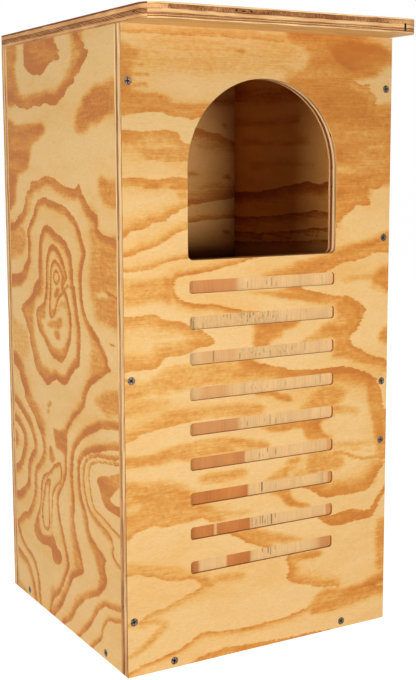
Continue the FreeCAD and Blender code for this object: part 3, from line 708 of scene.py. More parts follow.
        (171, 210), (173, 222), (172, 228), (160, 223), (146, 220)]),
    ("edge", 0.86, 5.5, [(115, -4), (117, 2), (119, 10), (124, 18), (130, 25), (140, 31), (147, 38),
        (153, 45), (158, 53), (163, 60), (168, 67), (171, 73), (169, 80), (165, 88), (161, 95),
        (158, 102), (155, 108), (151, 115), (147, 124), (145, 132), (144, 140), (147, 147), (153, 154),
        (159, 160), (163, 166), (167, 172), (169, 178), (169, 188), (170, 198), (170, 208), (172, 218),
        (175, 226), (182, 233), (192, 241), (201, 247), (211, 253), (218, 260),
        (221, 267)]),  # upright bands
    ("wash", 0.5, 4, [(118, 33), (130, 35), (143, 34), (132, 27), (124, 22), (118, 12), (112, 8),
        (114, 24)]),
    ("wash", 0.5, 4, [(170, 214), (176, 226), (196, 242), (214, 256), (218, 264), (206, 262), (190, 250),
        (172, 234)]),
    ("wash", 0.45, 3, [(144, 112), (150, 114), (157, 102), (162, 92), (154, 92), (147, 100)]),
    ("edge", 0.88, 7, [(122, -4), (126, 2), (134, 8), (142, 14), (150, 22), (156, 30), (163, 38),
        (170, 47), (176, 55), (182, 62), (190, 66), (197, 70), (203, 73), (209, 78), (208, 83), (205, 90),
        (200, 98), (195, 106), (191, 114), (188, 124), (187, 132), (188, 140), (188, 150), (187, 160),
        (186, 170), (185, 180), (186, 190), (188, 198), (192, 206), (197, 211), (204, 217), (220, 228),
        (232, 233), (245, 238), (258, 243), (270, 245), (285, 248), (302, 250), (320, 253)]),
    ("wash", 0.6, 4, [(175, 140), (185, 140), (187, 120), (194, 108), (206, 88), (204, 76), (190, 70),
        (184, 80), (182, 95), (174, 115)]),
    ("wash", 0.45, 4, [(206, 222), (226, 238), (250, 246), (280, 256), (320, 262), (320, 254), (280, 248),
        (250, 240)]),
    ("edge", 0.86, 6, [(150, -4), (155, 1), (165, 7), (175, 14), (182, 22), (190, 30), (197, 36),
        (203, 41), (212, 48), (222, 53), (232, 57), (243, 62), (252, 68), (261, 75), (266, 82), (267, 89),
        (263, 96), (264, 103), (268, 107), (258, 112), (245, 116), (236, 120), (228, 125), (224, 132),
        (222, 140), (219, 146), (212, 153), (207, 160), (205, 168), (204, 178), (204, 187), (206, 195),
        (212, 202), (222, 208), (235, 213), (250, 217), (268, 222), (285, 227), (302, 230), (320, 233)]),
    ("wash", 0.62, 3.5, [(206, 152), (216, 148), (224, 130), (240, 118), (262, 110), (262, 98), (265, 85),
        (256, 72), (246, 72), (249, 84), (243, 96), (236, 106), (222, 116), (212, 130)]),
    ("wash", 0.5, 3, [(176, 16), (192, 34), (210, 48), (240, 62), (252, 68), (240, 68), (214, 58),
        (192, 48), (178, 32), (166, 14)]),
    ("edge", 0.76, 3.4, [(320, 109), (302, 112), (289, 116), (284, 121), (286, 127), (281, 133),
        (275, 137), (265, 141), (255, 143), (242, 146), (232, 150), (224, 157), (219, 165), (216, 174),
        (215, 182), (216, 190), (219, 197), (226, 203), (236, 208), (250, 212), (268, 214), (285, 217),
        (302, 221), (320, 224)]),
    ("wash", 0.45, 2.5, [(232, 152), (250, 146), (272, 140), (282, 134), (280, 128), (262, 134),
        (246, 138), (234, 144)]),
    ("edge", 0.7, 2.6, [(320, 138), (302, 142), (280, 147), (265, 151), (252, 154), (242, 157),
        (236, 163), (233, 170), (231, 178), (228, 186), (230, 194), (236, 201), (246, 205), (262, 208),
        (280, 211), (320, 217)]),
    ("ring", 0.82, 40, [(320, 210), (300, 206), (285, 201), (272, 197), (258, 194), (250, 191),
        (246, 186), (252, 181), (256, 174), (260, 168), (268, 164), (285, 162), (320, 161), (320, 173),
        (300, 173), (284, 172), (278, 175), (283, 180), (290, 185), (296, 190),
        (320, 197)]),  # core at the front edge
    ("wash", 0.5, 4, [(245, 270), (258, 278), (275, 284), (290, 287), (320, 289), (320, 268), (290, 262),
        (275, 258), (262, 262)]),
    ("edge", 0.82, 5.5, [(88, -4), (86, 8), (84, 22), (81, 34), (76, 42), (70, 50), (62, 55), (52, 58),
        (42, 62), (32, 66), (26, 72), (20, 80), (14, 84), (4, 86)]),  # bottom corners
    ("edge", 0.78, 8, [(76, -4), (72, 8), (68, 20), (61, 31), (53, 39), (43, 45), (31, 48), (20, 51),
        (4, 55)]),
    ("wash", 0.5, 3, [(4, 8), (25, 8), (38, 5), (42, -4), (4, -4)]),
    ("edge", 0.8, 5, [(190, -4), (202, 5), (214, 15), (224, 23), (232, 31), (238, 38), (244, 44),
        (252, 50), (261, 56), (271, 59), (285, 61), (302, 64), (320, 67)]),
    ("edge", 0.72, 3.6, [(223, -4), (236, 6), (247, 14), (255, 20), (258, 28), (261, 35), (268, 42),
        (276, 46), (286, 48), (302, 53), (320, 56)]),
]

# Grain drawn inside, with soft dark bands near the top that paint the shade under the roof: the back wall by
# X, the right wall by Y, both from the box's middle
backInnerFigure = [
    # painted shade near the top corner, under the roof
    ("soft", 0.6, 7, [(100, 585), (150, 586)]),
    ("edge", 0.75, 15, [(170, 528), (140, 538), (130, 541), (120, 545), (108, 547), (98, 551), (88, 553),
        (60, 549)]),
    ("soft", 0.45, 6, [(96, 530), (150, 527)]),
    ("soft", 0.35, 4, [(74, 538), (92, 536)]),
    ("soft", 0.65, 2.5, [(60, 496), (78, 495), (92, 493)]),
    ("edge", 0.9, 19, [(50, 451), (78, 455), (90, 456), (108, 459), (120, 460), (140, 463), (170, 468)]),
    ("soft", 0.4, 4, [(104, 479), (132, 480)]),
    ("edge", 0.8, 7, [(40, 433), (78, 434), (100, 436), (145, 437)]),
    ("soft", 0.7, 2.4, [(131, 557), (133, 553)]),
    ("soft", 0.9, 2.4, [(132, 491), (135, 490)]),
    ("soft", 0.9, 2.4, [(132, 421), (136, 421)]),
    ("edge", 0.7, 20, [(-150, 560), (-90, 552), (-30, 556), (30, 562)]),
    ("edge", 0.75, 22, [(-150, 470), (-80, 478), (-20, 470), (40, 462)]),
    ("edge", 0.7, 26, [(-150, 380), (-60, 392), (20, 384), (90, 370), (150, 372)]),
    ("edge", 0.75, 24, [(-150, 300), (-70, 290), (0, 306), (80, 300), (150, 284)]),
    ("ring", 0.75, 22, [(90, 205), (40, 232), (-40, 236), (-100, 208), (-60, 176), (30, 170)]),
    ("edge", 0.7, 24, [(-150, 120), (-60, 134), (40, 122), (150, 136)]),
    ("edge", 0.7, 20, [(-150, 50), (-20, 62), (80, 48), (150, 60)]),
    # painted shade under the roof
    ("soft", 0.5, 18, [(-150, 620), (150, 616)]),
]
rightInnerFigure = [
    ("edge", 0.95, 14, [(150, 470), (90, 473), (40, 479), (0, 484), (-20, 487), (-34, 486), (-50, 485),
        (-72, 489), (-150, 494)]),
    ("edge", 0.9, 10, [(150, 440), (90, 442), (50, 445), (10, 449), (-20, 452), (-40, 455), (-70, 454),
        (-150, 460)]),
    ("edge", 0.85, 5, [(150, 420), (90, 422), (40, 425), (10, 428), (-20, 431), (-40, 434), (-70, 435),
        (-150, 440)]),
    ("edge", 0.8, 5, [(150, 408), (60, 412), (20, 415), (-20, 418), (-50, 421), (-70, 422), (-150, 425)]),
    ("soft", 0.4, 3, [(-24, 476), (-70, 476)]),
    ("soft", 0.35, 5, [(120, 535), (40, 531), (-20, 534)]),
    ("soft", 0.35, 5, [(150, 560), (60, 557), (0, 560)]),
    ("soft", 0.3, 5, [(100, 505), (20, 508), (-30, 506)]),
    # painted shade under the roof
    ("soft", 0.5, 12, [(150, 595), (40, 590), (-150, 598)]),
    ("edge", 0.75, 22, [(150, 366), (60, 372), (-30, 382), (-150, 388)]),
    ("edge", 0.75, 24, [(150, 310), (40, 302), (-60, 316), (-150, 312)]),
    ("edge", 0.7, 24, [(150, 250), (20, 262), (-80, 252), (-150, 260)]),
    # painted shade under the roof
    ("soft", 0.5, 16, [(150, 630), (-150, 624)]),
]


# Turns the drawn grain into four numbers at each point of a face, which the veneer reads
strokeSettings = {  # millimetres, or shares of a stroke's width
    "far": 60.0,  # distance written where no ring edge is near
    "step": 4.0,  # between the points of a smoothed line
    "patchReach": 14.0,
    "bandReach": (2.4, 12.0),  # share of the width, and some more
    "tail": 2.1,  # share of the width at which a band has faded out
    "behind": (3.0, 8.0),  # where a ring edge loses its depth on its pale side
    "streak": (0.3, 1.2),  # shares of the width between which a streak fades
    "softStretch": 0.6,  # patches and streaks run out along the grain
}


def smoothRise(low, high, values):
    share = np.clip((values - low) / (high - low), 0, 1)
    return share * share * (3 - 2 * share)


def smoothLine(points, closed):
    given = [Vector(point) for point in points]
    if closed and sum(a.cross(b) for a, b in zip(given, given[1:] + given[:1])) < 0:
        given.reverse()
    ring = [given[-1]] + given + given[:2] if closed else [given[0]] + given + [given[-1]]
    line = []
    for before, start, end, after in zip(ring, ring[1:], ring[2:], ring[3:]):
        steps = max(2, int((end - start).length / strokeSettings["step"]) + 1)
        for step in range(steps):
            t = step / steps
            bend = (2 * before - 5 * start + 4 * end - after) * t * t
            swing = (3 * start - before - 3 * end + after) * t ** 3
            line.append(0.5 * (2 * start + (end - before) * t + bend + swing))
    line.append(given[0] if closed else given[-1])
    return np.array([tuple(point) for point in line])


def signedDistance(places, line):
    nearest = np.full(len(places), 1e9)
    side = np.zeros(len(places))
    steep = np.zeros(len(places))
    for start, end in zip(line[:-1], line[1:]):
        run = end - start
        length = math.hypot(*run)
        if length < 1e-6:
            continue
        share = np.clip(((places - start) @ run) / length ** 2, 0, 1)
        away = places - start - share[:, None] * run
        distance = np.hypot(away[:, 0], away[:, 1])
        offset = (run[0] * (places[:, 1] - start[1]) - run[1] * (places[:, 0] - start[0])) / length
        closer = distance < nearest - 1e-6
        tied = (np.abs(distance - nearest) <= 1e-6) & (np.abs(offset) > np.abs(side))
        side = np.where(closer | tied, offset, side)
        steep = np.where(closer, abs(run[1]) / length, steep)
        nearest = np.where(closer, distance, nearest)
    return np.where(side < 0, -nearest, nearest), steep


def drawnField(places, strokes, scale, hold, main):
    count = len(places)
    unset = -1e6
    far = strokeSettings["far"]
    inside, outside, distances, slopes, lifted = [], [], [], [], np.zeros(count)
    for kind, strength, width, points in strokes:
        closed = kind in ("ring", "wash")
        crisp = kind in ("ring", "edge")
        line = smoothLine(points, closed)
        width *= scale if crisp else 1
        share, more = strokeSettings["bandReach"]
        reach = strokeSettings["patchReach"] if closed else share * width + more
        close = np.all((places > line.min(0) - reach) & (places < line.max(0) + reach), axis=1)
        distance, steep = np.full(count, unset), np.zeros(count)
        stretch = (1.0 if crisp else strokeSettings["softStretch"], 1.0)
        distance[close], steep[close] = signedDistance(places[close] * stretch, line * stretch)
        if crisp:
            band = main * (1 - smoothRise(hold * width, width, distance))
            tail = (1 - main) * (1 - smoothRise(0.0, strokeSettings["tail"] * width, distance))
            band = strength * (band + tail)
            behind = strength * (1 - smoothRise(*strokeSettings["behind"], -distance))
            outside.append(np.where(distance >= 0, band, 0))
            inside.append(np.where(distance >= 0, band, behind))
            distances.append(distance)
            slopes.append(steep)
            continue
        if kind == "wash":
            patch = strength * smoothRise(-width, width, distance)
        else:
            low, high = (edge * width for edge in strokeSettings["streak"])
            patch = strength * (1 - smoothRise(low, high, np.abs(distance)))
        if kind == "lift":
            lifted = np.maximum(lifted, patch)
        else:
            outside.append(patch)
            inside.append(patch)
            distances.append(np.full(count, unset))
            slopes.append(steep)
    inside, outside, distances, slopes = map(np.array, (inside, outside, distances, slopes))
    index = np.abs(distances).argmin(0)
    each = np.arange(count)
    edge = distances[index, each]
    found = edge > unset / 2
    extended = inside[index, each]
    outside[index, each] = np.where(found, 0, outside[index, each])
    outer = outside.max(0)
    inner = np.maximum(outer, np.where(found, extended, 0))
    values = [np.clip(edge, -far, far), inner * (1 - lifted), outer * (1 - lifted), slopes[index, each]]
    return np.stack(values, axis=1)


# Panels: merged copies of the boards with eased edges, faces ruled finely where grain is drawn
def mergedCopy(node):
    bm = bmesh.new()
    bm.from_mesh(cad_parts[node].data)
    bmesh.ops.remove_doubles(bm, verts=bm.verts, dist=1e-6)
    bmesh.ops.dissolve_limit(bm, angle_limit=0.01, verts=bm.verts, edges=bm.edges)
    return bm


def easeEdges(bm, offset):
    sharpAngle = 0.6  # radians
    edges = [e for e in bm.edges if len(e.link_faces) == 2 and e.calc_face_angle(0) > sharpAngle]
    bmesh.ops.bevel(bm, geom=edges, offset=offset, offset_type="OFFSET", affect="EDGES", segments=2,
                    profile=0.5, material=-1, clamp_overlap=True)


def ruleFace(bm, faces, axis, spacing):
    ahead = list(faces)
    low = min(v.co[axis] for f in ahead for v in f.verts)
    high = max(v.co[axis] for f in ahead for v in f.verts)
    normal = Vector([1.0 if i == axis else 0.0 for i in range(3)])
    done = []
    for step in range(1, int((high - low) / spacing) + 1):
        cut = low + step * spacing
        parts = set(ahead)
        parts.update(e for f in ahead for e in f.edges)
        parts.update(v for f in ahead for v in f.verts)
        made = bmesh.ops.bisect_plane(bm, geom=list(parts), dist=1e-7, plane_co=normal * cut, plane_no=normal)
        both = [f for f in made["geom"] if isinstance(f, bmesh.types.BMFace)]
        ahead = [f for f in both if max(v.co[axis] for v in f.verts) > cut + 1e-6]
        done += [f for f in both if max(v.co[axis] for v in f.verts) <= cut + 1e-6]
    return done + ahead


def finishPiece(name, bm, body, nodes, materials):
    mesh = bpy.data.meshes.new(name)
    bm.to_mesh(mesh)
    bm.free()
    for material in materials:
        mesh.materials.append(material)
    piece = bpy.data.objects.new(name, mesh)
    bpy.context.scene.collection.objects.link(piece)
    mesh.shade_smooth()
    mesh.set_sharp_from_angle(angle=math.radians(50))
    steady = piece.modifiers.new("steadyNormals", "WEIGHTED_NORMAL")
    steady.keep_sharp = True
    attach(piece, body)
    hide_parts(*nodes)
    return piece


boardSettings = {
    "easing": 0.0007,
    "ruling": 0.0028,  # mesh spacing where grain is drawn
    "innerRuling": 0.005,
    "waver": 1.3,  # of the drawn lines, millimetres
    "waverScale": 16.0,
    "fineWaver": (0.4, 0.2),  # a second waver, as shares of the first one's scale and size
    "faceReach": 0.0012,  # how far from the face its eased rim still carries the grain
    "facing": 0.75,  # cosine past which a face looks a given way
}
quarter = math.pi / 2
halfWidth, halfDepth = 159.5, 157.5  # box half sizes in millimetres

# Hills of the ring figure: x, z, reach to the left, right, down and up, level, spread
sideHills = [
    (60, 470, 34, 40, 70, 60, 0.0, 0.95), (235, 120, 40, 36, 60, 70, 0.3, 0.95),
    (150, 300, 60, 60, 46, 46, 2.6, 1.1), (300, 600, 50, 60, 50, 60, 1.2, 1.0),
    (10, 40, 50, 60, 40, 40, 2.2, 1.0),
]
backHills = [
    (190, 410, 38, 44, 60, 80, 0.0, 0.9), (80, 150, 34, 40, 60, 60, 0.4, 0.95),
    (270, 90, 60, 50, 50, 70, 2.5, 1.0), (40, 600, 60, 70, 40, 40, 1.4, 1.0),
    (300, 620, 50, 50, 60, 50, 2.2, 1.0),
]
roofHills = [
    (110, 150, 60, 70, 30, 34, 0.0, 0.9), (270, 300, 60, 50, 30, 30, 0.6, 1.0),
    (30, 330, 70, 60, 30, 30, 1.9, 1.0), (310, 60, 60, 50, 26, 30, 2.4, 1.0),
]
insideHills = [
    (-40, 560, 300, 300, 22, 34, 0.0, 1.0), (190, 470, 260, 240, 16, 20, 1.5, 1.0),
    (80, 330, 130, 150, 34, 30, 2.2, 1.0), (230, 140, 110, 120, 36, 40, 1.3, 1.0),
    (20, 40, 160, 140, 30, 30, 2.4, 1.0),
]

facesOut = {  # turn and origin that bring each outer face to face coordinates
    "front": ((0, 0, 0), (halfWidth, halfDepth, 0)),
    "left": ((0, 0, quarter), (halfDepth, halfWidth, 0)),
    "back": ((0, 0, 2 * quarter), (halfWidth, halfDepth, 0)),
    "right": ((0, 0, -quarter), (halfDepth, halfWidth, 0)),
    "top": ((quarter, 0, 0), (halfWidth, 1000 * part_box("roof_panel")[1].z, 200)),
    "floor": ((quarter, 0, 0), (halfWidth, 1000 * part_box("floor_panel")[1].z, 200)),
}
# front and left faces: painted shade, the colour darker towards the roof
frontVeneer = veneerMaterial("frontVeneer", *facesOut["front"], depth=0.84, shade=(400, 632, 1.0, 0.77))
leftVeneer = veneerMaterial(
    "leftVeneer", *facesOut["left"], depth=0.98, ragged=0.4, shade=(480, 640, 1.0, 0.9))
backVeneer = veneerMaterial("backVeneer", *facesOut["back"], backHills)
rightVeneer = veneerMaterial("rightVeneer", *facesOut["right"], sideHills)
roofVeneer = veneerMaterial("roofVeneer", *facesOut["top"], roofHills)
insideAcross = veneerMaterial("insideAcross", *facesOut["front"], insideHills, tones=hiddenShadedTones)
insideAlong = veneerMaterial("insideAlong", *facesOut["right"], insideHills, tones=hiddenShadedTones)
insideFlat = veneerMaterial("insideFlat", *facesOut["top"], backHills, tones=hiddenShadedTones)
# inner back and right walls: painted shade, darker towards the floor where the sill shades them, the right
# wall a little darker all over
backInner = veneerMaterial(
    "backInner", *facesOut["front"], depth=0.8, tones=innerShadedTones, shade=(386, 412, 0.25, 1.0))
rightInner = veneerMaterial(
    "rightInner", *facesOut["right"], tones=rightShadedTones, shade=(392, 430, 0.5, 0.93))
roofUnder = veneerMaterial("roofUnder", *facesOut["top"], roofHills, depth=0.3)

wallPlies = (0.3, 0.62, 0.0, 0.75, 0.3)
frontEdgeSettings = {
    "leftEnd": (40, 70),  # x from which the plies have the tones of the arch
    "gapCentre": (240, 2.6, 538),
    "gapShape": (0.06, 1.0, 0.36),
}


# Edge of the front: browner at the foot, one open gap beside the arch, painted near black as the shade inside
# it
def frontEdgeMaterial():
    material, tree, shader, point, skin = edgeMaterial("frontEdge", "front", 1, wallPlies, 0.0)
    place = splitPoint(tree, point)

    def fromLeft(atEnd, atArch):
        return ease(tree, place["X"], *frontEdgeSettings["leftEnd"], atEnd, atArch)

    plies = {
        "Age": ease(tree, place["Z"], 20, 330, 0.24, 0.0),
        "First": fromLeft(0.62, 0.3),
        "Second": fromLeft(0.1, 0.6),
        "Fourth": calc(tree, "MAXIMUM", ease(tree, place["Z"], 250, 520, 0.5, 0.72), fromLeft(0.0, 0.9)),
        "Fifth": calc(tree, "MAXIMUM", ease(tree, place["Z"], 200, 400, 0.3, 0.0), fromLeft(0.0, 0.3)),
    }
    for name, value in plies.items():
        tree.links.new(value, skin["Color"].node.inputs[name])
    # open gap: painted near black, the shade inside it
    away = vecCalc(tree, "SUBTRACT", point, frontEdgeSettings["gapCentre"])
    away = vecCalc(tree, "MULTIPLY", away, frontEdgeSettings["gapShape"])
    shadedGap = ease(tree, vecCalc(tree, "LENGTH", away), 0.7, 1.1, 1.0, 0.0)
    tree.links.new(mixColor(tree, shadedGap, skin["Color"], tone(36, 20, 12)), shader.inputs["Base Color"])
    return material


frontEdge = frontEdgeMaterial()
backEdge = edgeMaterial("backEdge", "back", 1, (0.2, 0.45, 0.0, 0.5, 0.15), 0.04)[0]
leftEdge = edgeMaterial("leftEdge", "left", 1, wallPlies, 0.08)[0]
rightEdge = edgeMaterial("rightEdge", "right", 1, wallPlies, 0.08)[0]
floorEdge = edgeMaterial("floorEdge", "floor", 0, wallPlies, 0.1)[0]


# Side edge of the roof: the middle ply is end grain with slanting streaks
def roofSideMaterial():
    plies = (0.9, 0.3, 0.5, 0.3, 0.5)
    material, tree, shader, point, skin = edgeMaterial("roofSideEdge", "top", 1, plies, 0.08, roofPlyEdge)
    place = splitPoint(tree, point)
    slant = calc(tree, "MULTIPLY_ADD", place["Y"], 3.4, place["Z"])
    lean = addNode(tree, "ShaderNodeCombineXYZ", {"Z": slant}).outputs[0]
    streak = ease(tree, grainNoise(tree, lean, (2.6, 2.6, 2.6), 2.0), 0.46, 0.56)
    below = ease(tree, place["Y"], 4.6, 6.2)
    middle = calc(tree, "MULTIPLY", below, ease(tree, place["Y"], 9.4, 11.8, 1.0, 0.0))
    color = mixColor(tree, calc(tree, "MULTIPLY", streak, middle), skin["Color"], tone(98, 46, 26))
    tree.links.new(color, shader.inputs["Base Color"])
    return material


roofSideEdge = roofSideMaterial()


roofEdgeSettings = {"joint": (21.8, 22.8), "shadedSlit": 293.6, "glueLines": (10.4, 12.2)}  # millimetres


# Front edge of the roof: brown second ply right of one joint, and an open slit near the right corner, painted
# near black as the shade inside it
def roofEdgeMaterial():
    plies = (0.0, 0.0, 0.22, 0.36, 0.05)
    material, tree, shader, point, skin = edgeMaterial("roofEdge", "top", 0, plies, 0.04, roofPlyEdge)
    place = splitPoint(tree, point)
    toRight = ease(tree, place["X"], 250, 305, 1.0, 0.6)
    brown = calc(tree, "MULTIPLY", ease(tree, place["X"], *roofEdgeSettings["joint"], 0.3, 0.72), toRight)
    tree.links.new(brown, skin["Color"].node.inputs["Second"])
    sway = grainSwing(tree, point, (46, 80, 46), 3.0, 0.5, 1.7)
    swayed = calc(tree, "MULTIPLY_ADD", sway, 4.0, place["Y"])
    color = skin["Color"]
    for level in roofEdgeSettings["glueLines"]:
        off = calc(tree, "ABSOLUTE", calc(tree, "SUBTRACT", swayed, level))
        color = mixColor(tree, ease(tree, off, 0.15, 0.6, 0.8, 0.0), color, tone(104, 56, 34))
    # open slit: painted near black, the shade inside it
    fromSlit = calc(tree, "ABSOLUTE", calc(tree, "SUBTRACT", place["X"], roofEdgeSettings["shadedSlit"]))
    shadedSlit = ease(tree, fromSlit, 0.9, 1.5, 1.0, 0.0)
    for axis, low, high, atLow in (("Y", 4.6, 5.4, 0.0), ("Y", 12.4, 13.2, 1.0), ("Z", 20, 22, 1.0)):
        shadedSlit = calc(tree, "MULTIPLY", shadedSlit, ease(tree, place[axis], low, high, atLow, 1 - atLow))
    color = mixColor(tree, shadedSlit, color, tone(26, 15, 10))
    tree.links.new(color, shader.inputs["Base Color"])
    return material


roofEdge = roofEdgeMaterial()
print("veneer and edge materials made")


# Floors of the toe grooves: the second ply, grain upright, part heartwood, with lathe checks
grooveSettings = {
    "top": 395.0,  # millimetres, as the next five
    "pitch": 35.9,
    "height": 13.0,
    "depth": 3.0,
    "margin": 5.0,  # strip above a groove that counts to it
    "tickWidth": (0.3, 0.9),  # half widths between which a check fades
    "floorBump": (0.0005, 0.5),  # distance in metres, and strength
    "wallBump": (0.0004, 0.5),
    "ruling": (0.0008, 0.0022),  # metres, as the next three
    "halfReach": 0.089,
    "span": (0.09, 0.397),
    "wallDepth": 0.0035,
}
grooveHeart = [  # groove from the top, from x, to x, strength, feather
    (1, 60, 129, 0.75, 5), (3, 84, 129, 0.3, 7), (4, 84, 120, 0.5, 9), (5, 60, 131, 0.7, 5),
    (6, 60, 138, 0.85, 1.5), (7, 60, 142, 1.0, 1.5), (8, 60, 101, 1.0, 1.2), (8, 104, 144.5, 1.0, 1.5),
    (9, 60, 83, 0.9, 2), (9, 116, 145, 0.95, 2), (6, 241, 260, 0.5, 1.5), (7, 243, 260, 0.6, 1.5),
    (8, 241, 260, 0.65, 1.5), (9, 231, 260, 0.75, 6),
]
grooveGrey = [
    (2, 60, 82, 0.6, 4), (2, 82, 124, 0.3, 8), (2, 124, 182, 0.6, 12), (3, 60, 80, 0.35, 4),
    (3, 130, 205, 0.35, 10), (4, 128, 165, 0.2, 10),
]
grooveTicks = [  # groove, x, from and to as shares of its height, strength
    (1, 141, 0.2, 0.6, 0.5), (1, 164, 0.3, 0.6, 0.4), (1, 170, 0.1, 0.9, 0.55), (1, 176, 0.2, 0.5, 0.4),
    (1, 233, 0.3, 0.8, 0.25), (2, 76, 0.2, 0.9, 0.5), (2, 78, 0.0, 0.7, 0.5), (2, 89, 0.1, 0.6, 0.3),
    (2, 113, 0.7, 1.0, 0.6), (2, 117, 0.7, 1.0, 0.5), (2, 121, 0.65, 1.0, 0.5), (2, 134, 0.6, 1.0, 0.5),
    (2, 137, 0.7, 1.0, 0.5), (2, 141, 0.3, 0.8, 0.5), (2, 144, 0.6, 1.0, 0.5), (2, 148, 0.8, 1.0, 0.6),
    (2, 150, 0.3, 0.5, 0.4), (2, 155, 0.2, 0.5, 0.4), (2, 160, 0.4, 0.7, 0.4), (2, 166, 0.6, 1.0, 0.65),
    (2, 172, 0.4, 0.6, 0.4), (2, 178, 0.4, 0.6, 0.4), (2, 189, 0.1, 0.6, 0.4), (2, 213, 0.6, 0.8, 0.3),
    (3, 101, 0.1, 0.95, 0.7), (3, 132, 0.2, 0.6, 0.5), (3, 147, 0.38, 0.55, 0.45), (3, 151, 0.35, 0.5, 0.45),
    (3, 156, 0.35, 0.5, 0.45), (3, 161, 0.5, 0.8, 0.55), (3, 169, 0.2, 0.6, 0.5), (3, 181, 0.35, 0.5, 0.5),
    (3, 187, 0.35, 0.5, 0.4), (3, 196, 0.5, 0.8, 0.4), (3, 212, 0.3, 0.9, 0.3), (4, 146, 0.4, 0.6, 0.35),
    (4, 151, 0.3, 0.5, 0.35), (4, 165, 0.4, 0.5, 0.3), (4, 188, 0.4, 0.6, 0.3), (4, 226, 0.2, 0.6, 0.3),
    (4, 232, 0.1, 0.9, 0.35), (5, 141, 0.2, 0.6, 0.45), (5, 134, 0.2, 0.6, 0.25), (5, 162, 0.4, 0.6, 0.5),
    (5, 169, 0.1, 0.9, 0.5), (5, 176, 0.1, 0.5, 0.35), (5, 233, 0.1, 0.9, 0.25), (6, 156, 0.3, 0.55, 0.5),
    (6, 160, 0.2, 0.4, 0.3), (6, 166, 0.55, 1.0, 0.75), (6, 176, 0.2, 0.7, 0.5), (6, 238, 0.1, 0.9, 0.2),
    (7, 159, 0.25, 1.0, 1.0), (7, 176, 0.2, 0.6, 0.2), (7, 236, 0.1, 0.9, 0.25), (8, 147, 0.1, 0.9, 0.45),
    (8, 152, 0.2, 0.7, 0.4), (8, 157, 0.3, 1.0, 0.55), (8, 160, 0.2, 0.9, 0.6), (8, 163, 0.2, 0.6, 0.5),
    (8, 166, 0.1, 0.7, 0.4), (8, 171, 0.1, 1.0, 0.9), (8, 176, 0.5, 1.0, 0.4), (9, 160, 0.6, 1.0, 0.6),
    (9, 167, 0.4, 1.0, 0.75), (9, 170, 0.3, 1.0, 0.75), (9, 176, 0.6, 0.9, 0.4),
]


# Marks of the groove floors at each point: heartwood, checks, greying
def grooveField(places):
    x, z = places[:, 0], places[:, 1]
    fromTop = grooveSettings["top"] + grooveSettings["margin"] - z
    number = np.floor(fromTop / grooveSettings["pitch"]) + 1
    foot = grooveSettings["top"] - grooveSettings["height"] - (number - 1) * grooveSettings["pitch"]
    share = (z - foot) / grooveSettings["height"]
    heart, grey, tick = (np.zeros(len(places)) for i in range(3))
    for marks, field in ((grooveHeart, heart), (grooveGrey, grey)):
        for groove, start, end, strength, feather in marks:
            begun = smoothRise(start - feather, start + feather, x)
            within = begun * (1 - smoothRise(end - feather, end + feather, x))
            np.maximum(field, np.where(number == groove, strength * within, 0), out=field)
    for groove, at, low, high, strength in grooveTicks:
        within = 1 - smoothRise(*grooveSettings["tickWidth"], np.abs(x - at))
        within = within * (share >= low - 0.02) * (share <= high + 0.02)
        np.maximum(tick, np.where(number == groove, strength * within, 0), out=tick)
    return np.stack([heart, tick, grey, np.zeros(len(places))], axis=1)


def grooveFloorMaterial():
    material, tree, shader = newMaterial("grooveFloor")
    point = facePoint(tree, *facesOut["front"])
    drawn = addNode(tree, "ShaderNodeAttribute", attribute_name="figure").outputs["Color"]
    marks = addNode(tree, "ShaderNodeSeparateColor", {0: drawn}).outputs
    streak = grainSwing(tree, point, (1.1, 2, 26), 4.0, 0.7)
    fleck = ease(tree, grainNoise(tree, point, (0.9, 3, 4.5), 2.0, 0.6, 3.3), 0.6, 0.68)
    cloud = grainSwing(tree, point, (22, 6, 60), 2.0, 0.5, 2.0)
    mottle = grainNoise(tree, point, (1.6, 3, 2.6), 2.0, 0.5, 6.0)
    deeper = calc(tree, "MULTIPLY_ADD", cloud, 1.6, 0.4, clamp=True)
    pale = mixColor(tree, deeper, tone(238, 198, 140), tone(222, 178, 122))
    deeper = calc(tree, "MULTIPLY_ADD", cloud, 1.6, 0.5, clamp=True)
    heart = mixColor(tree, deeper, tone(216, 140, 74), tone(190, 110, 54))
    color = mixColor(tree, calc(tree, "MULTIPLY_ADD", streak, 0.5, marks["Red"], clamp=True), pale, heart)
    soiled = calc(tree, "MULTIPLY", marks["Blue"], ease(tree, mottle, 0.34, 0.66))
    color = mixColor(tree, calc(tree, "MULTIPLY", soiled, 0.5), color, tone(164, 122, 86))
    color = brighten(tree, color, calc(tree, "MULTIPLY_ADD", streak, 0.7, 1.0))
    flecked = calc(tree, "MULTIPLY", fleck, calc(tree, "MULTIPLY_ADD", marks["Blue"], 0.36, 0.08))
    color = mixColor(tree, flecked, color, tone(106, 64, 36))
    color = mixColor(tree, calc(tree, "MULTIPLY", marks["Green"], 0.9), color, tone(74, 42, 24))
    rough = calc(tree, "MULTIPLY_ADD", streak, 0.3, 0.7)
    relief = calc(tree, "SUBTRACT", streak, marks["Green"])
    skin = {"Color": color, "Roughness": rough, "Height": relief}
    dress(tree, shader, skin, *grooveSettings["floorBump"])
    shader.inputs["Specular IOR Level"].default_value = edgeSettings["gloss"]
    return material


# Walls of the toe grooves: end grain painted dark brown, partly the wood's own colour and partly painted
# shade in the recess
def grooveWallMaterial():
    material, tree, shader = newMaterial("grooveWall")
    point = facePoint(tree, *facesOut["front"])
    speck = grainNoise(tree, point, (2.0, 0.6, 2.0), 3.0, 0.6)
    color = mixColor(tree, ease(tree, speck, 0.3, 0.7), tone(186, 122, 68), tone(118, 66, 34))
    rough = calc(tree, "MULTIPLY_ADD", speck, 0.3, 0.5)
    skin = {"Color": color, "Roughness": rough, "Height": speck}
    dress(tree, shader, skin, *grooveSettings["wallBump"])
    return material


